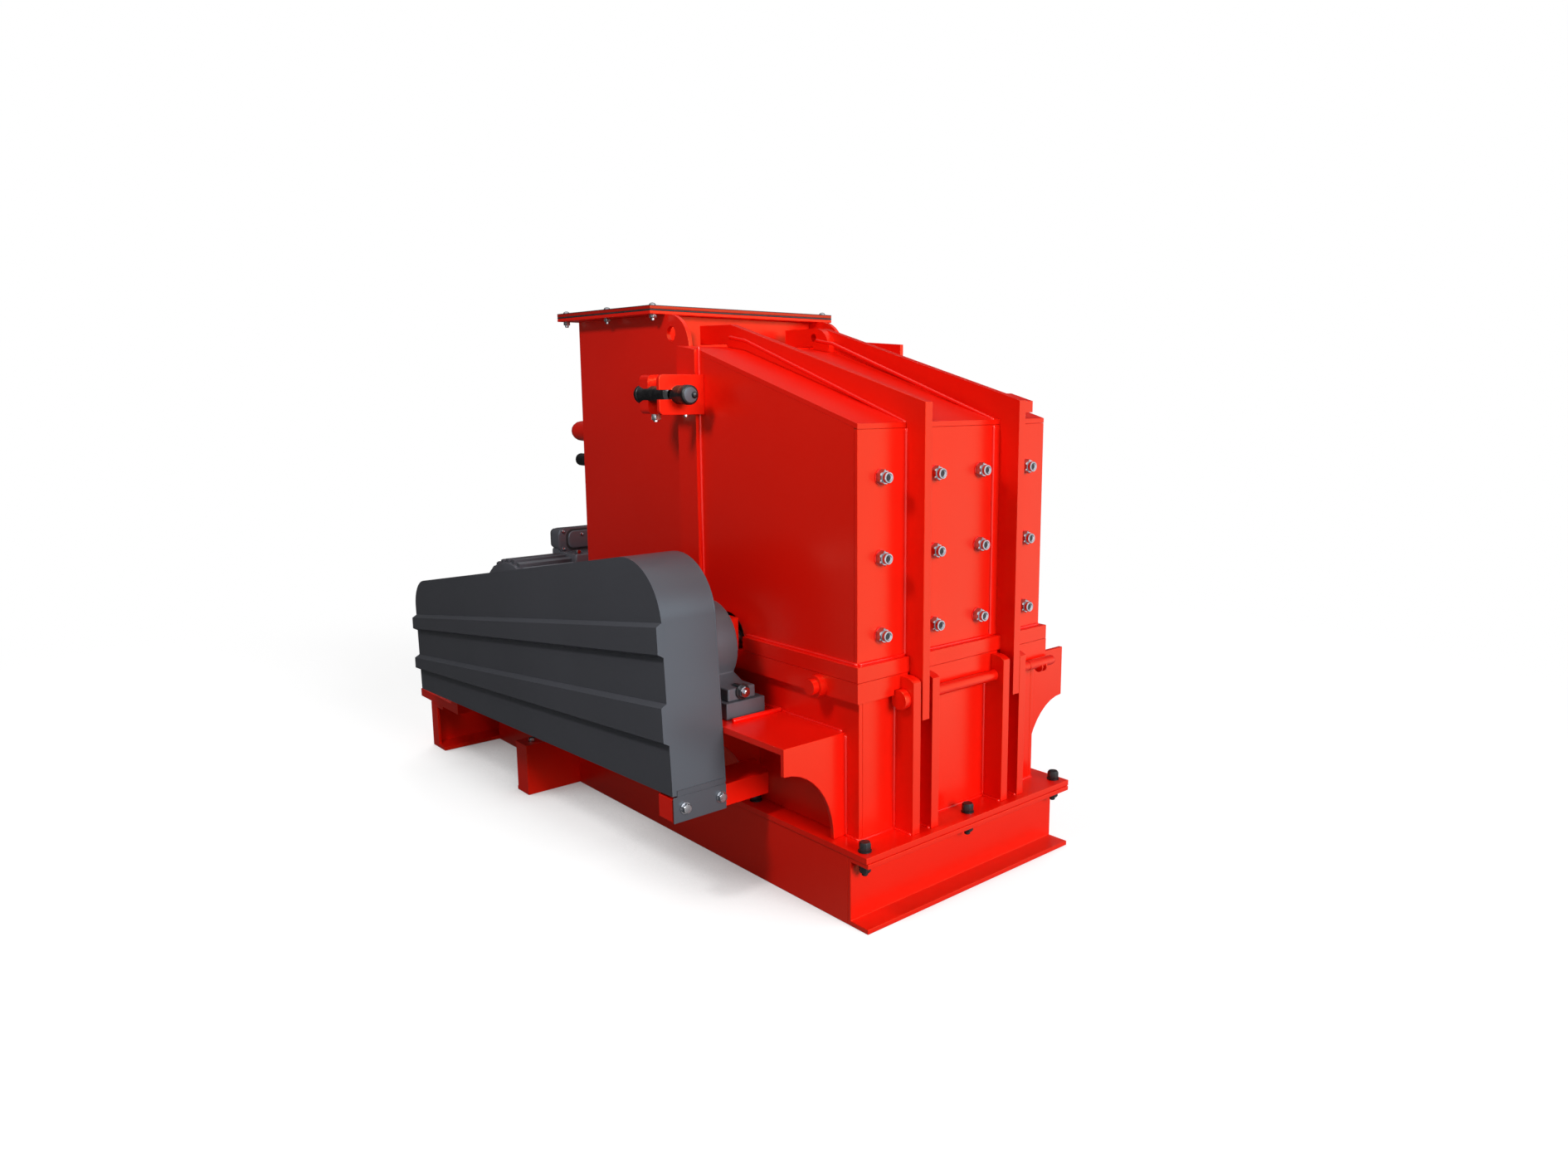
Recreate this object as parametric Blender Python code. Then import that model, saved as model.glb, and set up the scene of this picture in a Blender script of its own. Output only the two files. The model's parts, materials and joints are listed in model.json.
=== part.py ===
"""Hammer crusher with a belt drive, in metres, +Z up.

+X points to the hinged end, -Y to the belt guard. Sizes are worked out in a drawing frame whose y = 0 is
the middle plane of the housing and z = 0 the floor. At the end the model is moved so that its origin is
the middle of its footprint.
"""

import math

import bmesh
import bpy
from mathutils import Vector

# Clearances
SEAT = 0.0003
SLIDE = 0.005
PIN_PLAY = 0.0006

# Half widths of the housings, from the middle plane
LOWER_HALF = 0.325
RIM_LEDGE = 0.023
RIM_WIDTH = 0.086
REAR_STEP = 0.009
FRONT_STEP = 0.041
FLANGE_LAND = 0.018
RIM_HALF = LOWER_HALF + RIM_LEDGE
RIM_INNER_HALF = RIM_HALF - RIM_WIDTH
REAR_HALF = LOWER_HALF + REAR_STEP
REAR_FLANGE_INNER = RIM_INNER_HALF + FLANGE_LAND
FRONT_HALF = LOWER_HALF - FRONT_STEP

# Lengths of the housings
PLATE = 0.012
FRONT_X0 = -0.853
LOWER_X1 = 0.482
SLOPE_REACH = 0.071
FOOT_REACH = 0.087
RIM_REACH = 0.021
RIM_END_WIDTH = 0.063
FOOT_X0 = FRONT_X0 + SLOPE_REACH
FOOT_X1 = LOWER_X1 + FOOT_REACH
RIM_X1 = LOWER_X1 + RIM_REACH
RIM_INNER_X1 = RIM_X1 - RIM_END_WIDTH

# Base frame of channels
BASE_SIDE = 0.053
CHANNEL_TOP = 0.172
CHANNEL_FLANGE = 0.012
CHANNEL_WEB = 0.010
SIDE_FLANGE = 0.070
END_FLANGE = 0.060
END_WEB_REACH = 0.029
LOW_CHANNEL_STEP = 0.012
BASE_HALF = LOWER_HALF + BASE_SIDE
END_WEB_X = LOWER_X1 + END_WEB_REACH
END_FLANGE_X = END_WEB_X + END_FLANGE
MOTOR_BEAM_TOP = CHANNEL_TOP - LOW_CHANNEL_STEP

# Lower housing
FOOT_T = 0.016
FOOT_LIP = 0.003
FOOT_BOND = 0.045
FOOT_TOP = CHANNEL_TOP + FOOT_T
FOOT_HALF = BASE_HALF + FOOT_LIP
RIM_Z0 = 0.533
RIM_T = 0.049
RIM_Z1 = RIM_Z0 + RIM_T
GUIDE_PIN_X = 0.368
GUIDE_PIN_DROP = 0.029
GUIDE_COLLAR_R = 0.027
GUIDE_COLLAR_OUT = 0.018
GUIDE_PIN_R = 0.019
GUIDE_PIN_OUT = 0.034

# Rear housing that swings open
REAR_X0 = -0.202
REAR_END_STEP = 0.0045
REAR_FLANGE_T = 0.038
REAR_FLANGE_X0 = 0.060
REAR_X1 = LOWER_X1 + REAR_END_STEP
REAR_FLANGE_TOP = RIM_Z1 + REAR_FLANGE_T
ROOF_END_Z = 1.177
ROOF_BREAK_X = -0.130
ROOF_BREAK_Z = 1.355
ROOF_FRONT_Z = 1.367
STRIP = 0.013
LINER = 0.030
LINER_RISE = 0.020
LINER_GAP = 0.020
SIDE_LUG_X0 = -0.214
SIDE_LUG_X1 = -0.042
SIDE_LUG_RISE = 0.027

# Ribs over the rear housing, and the hinge below them
RIB_IN = 0.156
RIB_T = 0.024
RIB_DEPTH = 0.0625
RIB_OVER_ROOF = 0.048
RIB_OUT = RIB_IN + RIB_T
RIB_X1 = REAR_X1 + RIB_DEPTH
RIB_END_Z = ROOF_END_Z + RIB_OVER_ROOF
RIB_RIDGE_X = -0.199
RIB_RIDGE_Z = 1.428
RIB_FRONT_X = -0.346
RIB_FRONT_Z = 1.430
RIB_FRONT_UNDER = 1.376
RIB_PAD_LENGTH = 0.070
RIB_PAD_WIDTH = 0.030
RIB_PAD_DROP = 0.028
RIB_PAD_STEP = 0.002
PIN_REACH = 0.034
PIN_DROP = 0.0585
PIN_X = LOWER_X1 + PIN_REACH
PIN_Z = RIM_Z1 - PIN_DROP
PIN_R = 0.012
PIN_HEAD_R = 0.0245
PIN_HEAD = 0.019
HEAD_PLAY = 0.002
PIN_TAIL = 0.050
TONGUE_DROP = 0.0535
TONGUE_Z = PIN_Z - TONGUE_DROP
EYE_R = 0.026
CLEVIS_LAND = 0.031
CLEVIS_X1 = PIN_X + CLEVIS_LAND
CLEVIS_T = 0.025
CLEVIS_OUT_PLAY = 0.004
CLEVIS_IN_PLAY = 0.012
CLEVIS_OUT = RIB_OUT + CLEVIS_OUT_PLAY
CLEVIS_IN = RIB_IN - CLEVIS_IN_PLAY - CLEVIS_T
CLEVIS_CROWN_R = 0.0535
LUG_T = 0.024
LUG_X1 = -0.148
LUG_CORNER_R = 0.055

# Front housing with the feed mouth
FRONT_PLATE_X1 = -0.200
FRONT_PLATE_CUT_Z = 1.345
CROWN_X = -0.2465
CROWN_R = 0.098
MOUTH_X1 = -0.399
MOUTH_SHELF_Z = 1.350
FLANGE_Z = 1.458
FLANGE_T = 0.009
GASKET_T = 0.004
FLANGE_FRONT_LIP = 0.047
FLANGE_REAR_LIP = 0.037
FLANGE_SIDE_LIP = 0.048
FLANGE_X0 = FRONT_X0 - FLANGE_FRONT_LIP
FLANGE_X1 = MOUTH_X1 + FLANGE_REAR_LIP
FLANGE_HALF = FRONT_HALF + FLANGE_SIDE_LIP
LIFT_HOLE_X = -0.335
LIFT_HOLE_Z = 1.404
LIFT_HOLE_R = 0.021

# Clamps beside the seam
CLAMP_Z0 = 1.187
CLAMP_Z1 = 1.290
CLAMP_STAND = 0.080
CLAMP_FRONT_LIP = 0.016
CLAMP_REAR_LIP = 0.0585
CLAMP_CORNER_R = 0.014
CLAMP_FRONT_X0 = -0.270
CLAMP_FRONT_X1 = -0.228
CLAMP_REAR_X0 = -0.119
CLAMP_REAR_X1 = CLAMP_REAR_X0 + PLATE
CLAMP_Y = REAR_HALF + CLAMP_STAND
CLAMP_FRONT_OUT = CLAMP_Y + CLAMP_FRONT_LIP
CLAMP_REAR_OUT = CLAMP_Y + CLAMP_REAR_LIP
SCREW_R = 0.020
SCREW_HEAD_R = 0.025
SCREW_HEAD = 0.016
CAP_R = 0.024
CAP_OUT = 0.030

# Rotor, its bearings and the consoles that carry them
SHAFT_X = -0.020
SHAFT_RISE = 0.067
SHAFT_Z = RIM_Z0 + SHAFT_RISE
JOURNAL_R = 0.045
NECK_R = 0.050
CORE_R = 0.065
DISC_R = 0.270
DISC_T = 0.024
DISC_COUNT = 4
ROTOR_SIDE_PLAY = 0.025
DISC_PITCH = ((RIM_INNER_HALF - ROTOR_SIDE_PLAY) * 2 - DISC_T) / (DISC_COUNT - 1)
HAMMER_PIN_R = 0.018
HAMMER_PIN_CIRCLE = 0.215
HAMMER_ROWS = 4
HAMMER_LENGTH = 0.170
HAMMER_W = 0.090
HAMMER_T = 0.050
BEARING_STAND = 0.078
BEARING_HEIGHT = 0.112
BEARING_Y = RIM_HALF + BEARING_STAND
BEARING_BASE = SHAFT_Z - BEARING_HEIGHT
BEARING_W = 0.084
BEARING_FOOT_HALF = 0.180
BEARING_FOOT = 0.032
BEARING_BODY_R = 0.112
BEARING_HUB_R = 0.078
BEARING_HUB = 0.010
PLINTH_T = 0.042
PLINTH_IN_HALF = 0.064
PLINTH_OUT_HALF = 0.054
PLINTH_IN = BEARING_Y - PLINTH_IN_HALF
PLINTH_OUT = BEARING_Y + PLINTH_OUT_HALF
PLINTH_HALF = 0.190
CONSOLE_TOP = BEARING_BASE - PLINTH_T
CONSOLE_T = 0.016
CONSOLE_X0 = -0.250
CONSOLE_END_STEP = 0.047
CONSOLE_X1 = LOWER_X1 - CONSOLE_END_STEP
CONSOLE_LIP = 0.088
CONSOLE_LIP_DROP = 0.067
CONSOLE_TOE_W = 0.038
CONSOLE_OUT = BEARING_Y + CONSOLE_LIP
CONSOLE_LIP_Z = CONSOLE_TOP - CONSOLE_LIP_DROP
CONSOLE_TOE = LOWER_HALF + CONSOLE_TOE_W
FAR_HORN_RISE = 0.032
FAR_HORN_TOP = BEARING_BASE + FAR_HORN_RISE
GUSSETS = 3
SEAL_HALF = 0.064
SEAL_T = 0.022
SEAL_RISE = 0.068
SEAL_TOP = SHAFT_Z + SEAL_RISE
NOTCH_R = 0.072
RIM_NOTCH_R = 0.055

# Belt drive and its guard
GUARD_SHEET = 0.004
GUARD_GAP = 0.006
GUARD_DEPTH = 0.149
GUARD_Y1 = -CONSOLE_OUT - GUARD_GAP
GUARD_Y0 = GUARD_Y1 - GUARD_DEPTH
PULLEY_W = 0.105
PULLEY_GAP = 0.020
PULLEY_Y1 = GUARD_Y1 - PULLEY_GAP
PULLEY_Y0 = PULLEY_Y1 - PULLEY_W
ROTOR_PULLEY_R = 0.185
MOTOR_PULLEY_R = 0.105
BELT_T = 0.012
BELT_EDGE = 0.006
MOTOR_FROM_FRONT = 0.337
MOTOR_X = FRONT_X0 - MOTOR_FROM_FRONT
GUARD_LEFT_REACH = 0.136
GUARD_RIGHT_REACH = 0.232
GUARD_X0 = MOTOR_X - GUARD_LEFT_REACH
GUARD_X1 = SHAFT_X + GUARD_RIGHT_REACH
GUARD_RIGHT_LEAN = 0.026
GUARD_LEFT_TAPER = 0.010
GUARD_LEFT_BOTTOM = 0.258
GUARD_RIGHT_BOTTOM = 0.310
GUARD_LEFT_TOP = 0.636
GUARD_RIGHT_TOP = 0.858
GUARD_LEFT_R = 0.095
GUARD_RIGHT_R = 0.155
SWAGE_OUT = 0.015
SWAGE_SLOPE = 0.010
SWAGE_LEFT = ((0.512, 0.456), (0.376, 0.322))
SWAGE_RIGHT = ((0.724, 0.640), (0.534, 0.432))
GUARD_STRIP_Z0 = 0.256
ARM_W = 0.058
ARM_Z0 = 0.246
ARM_TOP = 0.302
ARM_END = 0.058
ARM_FOOT_END = 0.020
ARM_FOOT_WIDTH = 0.080

# Motor and what carries it
MOTOR_R = 0.215
MOTOR_FIN = 0.024
MOTOR_FINS = 36
FIN_TO_RAIL = 0.011
FRAME_HEIGHT = MOTOR_R + MOTOR_FIN + FIN_TO_RAIL
RAIL_T = 0.035
RAIL_W = 0.080
MOTOR_RAIL_TOP = MOTOR_BEAM_TOP + RAIL_T
MOTOR_SHAFT_Z = MOTOR_RAIL_TOP + FRAME_HEIGHT
MOTOR_SHAFT_OUT = 0.110
MOTOR_LENGTH = 0.680
COWL_LENGTH = 0.150
MOTOR_Y0 = PULLEY_Y1 + MOTOR_SHAFT_OUT
MOTOR_Y1 = MOTOR_Y0 + MOTOR_LENGTH
COWL_Y1 = MOTOR_Y1 + COWL_LENGTH
MOTOR_SHAFT_R = 0.0325
MOTOR_FOOT_HALF = 0.225
COWL_STEP = 0.010
COWL_R = MOTOR_R + COWL_STEP
BOX_FROM_END = 0.225
BOX_LENGTH = 0.240
BOX_Y0 = MOTOR_Y0 + BOX_FROM_END
BOX_Y1 = BOX_Y0 + BOX_LENGTH
BOX_HALF = 0.098
BOX_HEIGHT = 0.086
RAIL_NEAR_FROM_END = 0.130
RAIL_PITCH = 0.360
RAIL_NEAR_Y = MOTOR_Y0 + RAIL_NEAR_FROM_END
RAIL_FAR_Y = RAIL_NEAR_Y + RAIL_PITCH
MOTOR_BEAM_BEHIND = 0.297
MOTOR_BEAM_W = 0.100
MOTOR_BEAM_X0 = MOTOR_X - MOTOR_BEAM_BEHIND
MOTOR_BEAM_X1 = MOTOR_BEAM_X0 + MOTOR_BEAM_W
MOTOR_BEAM_OUT = 0.200
MOTOR_BEAM_NEAR = -BASE_HALF - MOTOR_BEAM_OUT
MIDDLE_BEAM_GAP = 0.010
MIDDLE_BEAM_W = 0.076
MIDDLE_BEAM_OUT = 0.177
MIDDLE_BEAM_X1 = FOOT_X0 - MIDDLE_BEAM_GAP
MIDDLE_BEAM_X0 = MIDDLE_BEAM_X1 - MIDDLE_BEAM_W
MIDDLE_BEAM_NEAR = -BASE_HALF - MIDDLE_BEAM_OUT
GUARD_FOOT_BEHIND = 0.385
GUARD_FOOT_LENGTH = 0.320
GUARD_POST_W = 0.055
GUARD_FOOT_W = 0.106
GUARD_FOOT_X0 = MOTOR_X - GUARD_FOOT_BEHIND
GUARD_FOOT_X1 = GUARD_FOOT_X0 + GUARD_FOOT_LENGTH
GUARD_POST_X0 = GUARD_FOOT_X1 - GUARD_POST_W

# Feed-side adjusters
ADJUSTER_EDGE = 0.036
ADJUSTER_Z = 1.118
ADJUSTER_R = 0.032
ADJUSTER_OUT = 0.112
ADJUSTER_DOME = 0.040
ADJUSTER_CAP_Z = 1.026
ADJUSTER_CAP_R = 0.020
ADJUSTER_CAP_OUT = 0.088
ADJUSTER_PAD = 0.010
ADJUSTER_PAD_LIP = 0.004
ADJUSTER_Y = FRONT_HALF - ADJUSTER_EDGE

ROUND = 24
FOOTPRINT_X = (GUARD_FOOT_X0, END_FLANGE_X)
FOOTPRINT_Y = (GUARD_Y0 - SWAGE_OUT, CONSOLE_OUT)
CENTRE = Vector((-sum(FOOTPRINT_X) / 2, -sum(FOOTPRINT_Y) / 2, 0.0))


def clear_scene():
    for old in list(bpy.data.objects):
        bpy.data.objects.remove(old, do_unlink=True)


def paint(name, colour, roughness, metallic):
    material = bpy.data.materials.new(name)
    material.use_nodes = True
    shader = material.node_tree.nodes["Principled BSDF"]
    shader.inputs["Base Color"].default_value = (*colour, 1.0)
    shader.inputs["Roughness"].default_value = roughness
    shader.inputs["Metallic"].default_value = metallic
    return material


def make_materials():
    return {
        "red": paint("red_enamel", (0.70, 0.012, 0.006), 0.28, 0.0),
        "grey": paint("grey_enamel", (0.055, 0.055, 0.062), 0.35, 0.0),
        "steel": paint("bare_steel", (0.42, 0.42, 0.44), 0.35, 1.0),
        "cast": paint("worn_cast_steel", (0.16, 0.14, 0.13), 0.55, 0.9),
        "rubber": paint("black_rubber", (0.012, 0.012, 0.013), 0.75, 0.0),
        "black": paint("blackened_steel", (0.02, 0.02, 0.022), 0.4, 0.6),
    }


def place(axis, a, b, depth):
    """A point of an outline drawn square to axis, at this depth along it."""
    return {"x": (depth, a, b), "y": (a, depth, b), "z": (a, b, depth)}[axis]


def add_object(name, mesh_data, material, helper=False):
    mesh = bpy.data.meshes.new(name)
    mesh_data.to_mesh(mesh)
    mesh_data.free()
    mesh.materials.append(material)
    obj = bpy.data.objects.new(name, mesh)
    bpy.context.scene.collection.objects.link(obj)
    if helper:
        obj.hide_render = True
        obj.display_type = "WIRE"
    return obj


def plate(name, outline, axis, low, high, material, holes=(), helper=False):
    """A flat plate: an outline with holes, filled and pushed from low to high along axis."""
    bm = bmesh.new()
    edges = []
    for loop in (outline, *holes):
        ring = [bm.verts.new(place(axis, a, b, low)) for a, b in loop]
        edges += [bm.edges.new((ring[i - 1], ring[i])) for i in range(len(ring))]
    bmesh.ops.triangle_fill(bm, edges=edges, use_beauty=True, use_dissolve=False)
    pushed = bmesh.ops.extrude_face_region(bm, geom=bm.faces[:])
    along = Vector(place(axis, 0.0, 0.0, high - low))
    moved = [item for item in pushed["geom"] if isinstance(item, bmesh.types.BMVert)]
    bmesh.ops.translate(bm, vec=along, verts=moved)
    bmesh.ops.recalc_face_normals(bm, faces=bm.faces[:])
    return add_object(name, bm, material, helper)


def turned(name, profile, centre, axis, material, steps=ROUND, helper=False):
    """A turned piece: (radius, place along axis) pairs, closed on the axis at both ends."""
    bm = bmesh.new()
    turn_axis = Vector(place(axis, 0.0, 0.0, 1.0))
    side = Vector(place(axis, 1.0, 0.0, 0.0))
    centre = Vector(centre)
    ring = [bm.verts.new(centre + side * radius + turn_axis * along) for radius, along in profile]
    edges = [bm.edges.new(pair) for pair in zip(ring, ring[1:])]
    bmesh.ops.spin(
        bm, geom=ring + edges, cent=centre, axis=turn_axis, angle=math.tau, steps=steps, use_merge=True
    )
    bmesh.ops.remove_doubles(bm, verts=bm.verts[:], dist=0.00001)
    bmesh.ops.recalc_face_normals(bm, faces=bm.faces[:])
    obj = add_object(name, bm, material, helper)
    obj.data.shade_smooth()
    obj.data.set_sharp_from_angle(angle=math.radians(35))
    return obj


def rod(name, radius, centre, axis, low, high, material, steps=ROUND, helper=False):
    profile = ((0.0, low), (radius, low), (radius, high), (0.0, high))
    return turned(name, profile, centre, axis, material, steps, helper)


def combine(obj, helper, operation):
    helper.hide_render = True
    helper.display_type = "WIRE"
    modifier = obj.modifiers.new(helper.name, "BOOLEAN")
    modifier.operation = operation
    modifier.solver = "EXACT"
    modifier.object = helper


def fuse(obj, *helpers):
    for helper in helpers:
        combine(obj, helper, "UNION")


def cut(obj, *helpers):
    for helper in helpers:
        combine(obj, helper, "DIFFERENCE")


def arc(x, z, radius, start, end, count):
    """Points on a circle from the start angle to the end angle, in degrees."""
    angles = [math.radians(start + (end - start) * i / count) for i in range(count + 1)]
    return [(x + radius * math.cos(angle), z + radius * math.sin(angle)) for angle in angles]


def circle(x, z, radius, count=ROUND):
    return arc(x, z, radius, 0.0, 360.0 * (count - 1) / count, count - 1)


def rectangle(x0, x1, z0, z1):
    return [(x0, z0), (x1, z0), (x1, z1), (x0, z1)]


def mirrored(outline):
    """The same outline with its first coordinate turned over."""
    return [(-a, b) for a, b in outline]


def side_name(sign):
    return "near" if sign < 0 else "far"


def span(sign, inner, outer):
    """The low and high y of a piece between two distances from the middle plane, on one side."""
    return tuple(sorted((sign * inner, sign * outer)))


def channel(outer, inner, low, high):
    """Section of a channel: its web at outer, its flanges reaching to inner."""
    web = outer + math.copysign(CHANNEL_WEB, inner - outer)
    return [
        (outer, low),
        (inner, low),
        (inner, low + CHANNEL_FLANGE),
        (web, low + CHANNEL_FLANGE),
        (web, high - CHANNEL_FLANGE),
        (inner, high - CHANNEL_FLANGE),
        (inner, high),
        (outer, high),
    ]


def build_base(mats):
    red = mats["red"]
    end = channel(END_WEB_X - CHANNEL_WEB, END_FLANGE_X, 0.0, CHANNEL_TOP)
    plate("base_end_beam", end, "y", -BASE_HALF, BASE_HALF, red)
    side_end = END_WEB_X - CHANNEL_WEB - SEAT
    for sign in (-1, 1):
        side = channel(sign * BASE_HALF, sign * (BASE_HALF - SIDE_FLANGE), 0.0, CHANNEL_TOP)
        plate(f"base_beam_{side_name(sign)}", side, "x", MIDDLE_BEAM_X1 + SEAT, side_end, red)
        low = channel(sign * BASE_HALF, sign * (BASE_HALF - SIDE_FLANGE), 0.0, MOTOR_BEAM_TOP)
        plate(
            f"motor_frame_{side_name(sign)}", low, "x", MOTOR_BEAM_X1 + SEAT, MIDDLE_BEAM_X0 - SEAT, red
        )
    middle = channel(MIDDLE_BEAM_X1, MIDDLE_BEAM_X0, 0.0, MOTOR_BEAM_TOP)
    plate("middle_cross_beam", middle, "y", MIDDLE_BEAM_NEAR, BASE_HALF, red)
    outer = channel(MOTOR_BEAM_X0, MOTOR_BEAM_X1, 0.0, MOTOR_BEAM_TOP)
    plate("motor_cross_beam", outer, "y", MOTOR_BEAM_NEAR, BASE_HALF, red)


def rim_cutters(name, mats):
    """Round cuts over the shaft neck on both sides, longer than the rim is wide."""
    return rod(
        name,
        RIM_NOTCH_R,
        (SHAFT_X, 0.0, SHAFT_Z),
        "y",
        -RIM_HALF - PLATE,
        RIM_HALF + PLATE,
        mats["red"],
        helper=True,
    )


def build_lower_housing(mats):
    red = mats["red"]
    foot_hole = rectangle(
        FOOT_X0 + FOOT_BOND, LOWER_X1 - FOOT_BOND, -LOWER_HALF + FOOT_BOND, LOWER_HALF - FOOT_BOND
    )
    foot = rectangle(FOOT_X0, FOOT_X1, -FOOT_HALF, FOOT_HALF)
    plate("foot_flange", foot, "z", CHANNEL_TOP + SEAT, FOOT_TOP, red, holes=[foot_hole])
    low, high = FOOT_TOP + SEAT, RIM_Z0 - SEAT
    lower_x0 = FOOT_X0 + PLATE
    for sign in (-1, 1):
        y0, y1 = span(sign, LOWER_HALF - PLATE, LOWER_HALF)
        wall = [(lower_x0, low), (LOWER_X1, low), (LOWER_X1, high), (FRONT_X0, high)]
        wall.append((FRONT_X0, high - PLATE))
        plate(f"lower_wall_{side_name(sign)}", wall, "y", y0, y1, red)
    inner = LOWER_HALF - PLATE - SEAT
    end_wall = rectangle(-inner, inner, low, high)
    plate("lower_wall_end", end_wall, "x", LOWER_X1 - PLATE, LOWER_X1, red)
    slope = [
        (lower_x0, low),
        (lower_x0 + PLATE, low),
        (FRONT_X0 + PLATE, high - PLATE),
        (FRONT_X0 + PLATE, high),
        (FRONT_X0, high),
        (FRONT_X0, high - PLATE),
    ]
    plate("lower_wall_front", slope, "y", -inner, inner, red)

    notch_in, notch_out = CLEVIS_IN + CLEVIS_T, CLEVIS_OUT
    notch_x = PIN_X - EYE_R - SLIDE
    rim = [(FRONT_X0, -RIM_HALF), (RIM_X1, -RIM_HALF)]
    for y0, y1 in ((-notch_out, -notch_in), (notch_in, notch_out)):
        rim += [(RIM_X1, y0), (notch_x, y0), (notch_x, y1), (RIM_X1, y1)]
    rim += [(RIM_X1, RIM_HALF), (FRONT_X0, RIM_HALF)]
    mouth = rectangle(FRONT_X0 + PLATE, RIM_INNER_X1, -RIM_INNER_HALF, RIM_INNER_HALF)
    ring = plate("lower_rim", rim, "z", RIM_Z0, RIM_Z1, red, holes=[mouth])
    head = -CLEVIS_OUT - CLEVIS_T
    relief = rod(
        "pin_head_relief",
        PIN_HEAD_R + HEAD_PLAY,
        (PIN_X, 0.0, PIN_Z),
        "y",
        head - PIN_HEAD - HEAD_PLAY,
        head,
        red,
        helper=True,
    )
    cut(ring, rim_cutters("rim_shaft_cut", mats), relief)
    for sign in (-1, 1):
        collar = (
            (0.0, -SLIDE),
            (GUIDE_COLLAR_R, -SLIDE),
            (GUIDE_COLLAR_R, GUIDE_COLLAR_OUT),
            (GUIDE_PIN_R, GUIDE_COLLAR_OUT),
            (GUIDE_PIN_R, GUIDE_PIN_OUT),
            (0.0, GUIDE_PIN_OUT),
        )
        profile = [(radius, sign * along) for radius, along in collar]
        centre = (GUIDE_PIN_X, sign * RIM_HALF, RIM_Z1 - GUIDE_PIN_DROP)
        fuse(ring, turned(f"guide_pin_{side_name(sign)}", profile, centre, "y", red, 16, helper=True))


def build_hinge(mats):
    red = mats["red"]
    crown_drop = math.sqrt(CLEVIS_CROWN_R**2 - (CLEVIS_X1 - PIN_X) ** 2)
    crown_end = math.degrees(math.atan2(crown_drop, CLEVIS_X1 - PIN_X))
    side = [
        (LOWER_X1 + SEAT, FOOT_TOP + SEAT),
        (CLEVIS_X1, FOOT_TOP + SEAT),
        *arc(PIN_X, PIN_Z, CLEVIS_CROWN_R, crown_end, 90.0, 5),
        (RIM_X1 + SEAT, PIN_Z + CLEVIS_CROWN_R),
        (RIM_X1 + SEAT, RIM_Z0 - SEAT),
        (LOWER_X1 + SEAT, RIM_Z0 - SEAT),
    ]
    hole = circle(PIN_X, PIN_Z, PIN_R + SEAT, 20)
    starts = (-CLEVIS_OUT - CLEVIS_T, -CLEVIS_IN - CLEVIS_T, CLEVIS_IN, CLEVIS_OUT)
    for number, y0 in enumerate(starts, 1):
        plate(f"hinge_clevis_{number}", side, "y", y0, y0 + CLEVIS_T, red, holes=[hole])
    head = -CLEVIS_OUT - CLEVIS_T - SEAT
    tail = CLEVIS_OUT + CLEVIS_T + PIN_TAIL
    profile = (
        (0.0, head - PIN_HEAD),
        (PIN_HEAD_R, head - PIN_HEAD),
        (PIN_HEAD_R, head),
        (PIN_R, head),
        (PIN_R, tail),
        (0.0, tail),
    )
    turned("hinge_pin", profile, (PIN_X, 0.0, PIN_Z), "y", red, 20)


def console_side(top):
    """Side of a console gusset, as (distance from the middle plane, z), with its hollow lower edge."""
    reach = CONSOLE_OUT - CONSOLE_TOE
    rise = CONSOLE_LIP_Z - FOOT_TOP - SEAT
    hollow = [
        (CONSOLE_OUT - reach * math.cos(angle), FOOT_TOP + SEAT + rise * math.sin(angle))
        for angle in (math.pi / 2 * i / 10 for i in range(11))
    ]
    return [(LOWER_HALF + SEAT, FOOT_TOP + SEAT), *hollow, (CONSOLE_OUT, top), (LOWER_HALF + SEAT, top)]


def gusset_x(number):
    """Where a console gusset starts: the first and last are flush with the table's ends."""
    return CONSOLE_X0 + number * (CONSOLE_X1 - CONSOLE_X0 - PLATE) / (GUSSETS - 1)


def build_console(sign, table_top, horn_top, mats):
    name = f"console_{side_name(sign)}"
    y0, y1 = span(sign, LOWER_HALF + SEAT, CONSOLE_OUT)
    table = rectangle(CONSOLE_X0, CONSOLE_X1, y0, y1)
    console = plate(name, table, "z", table_top - CONSOLE_T, table_top, mats["red"])
    for number in range(GUSSETS):
        last = number == GUSSETS - 1
        outline = console_side(horn_top if last else table_top - CONSOLE_T / 2)
        if sign < 0:
            outline = mirrored(outline)
        x0 = gusset_x(number)
        gusset = plate(f"{name}_gusset_{number}", outline, "x", x0, x0 + PLATE, mats["red"], helper=True)
        fuse(console, gusset)


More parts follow.
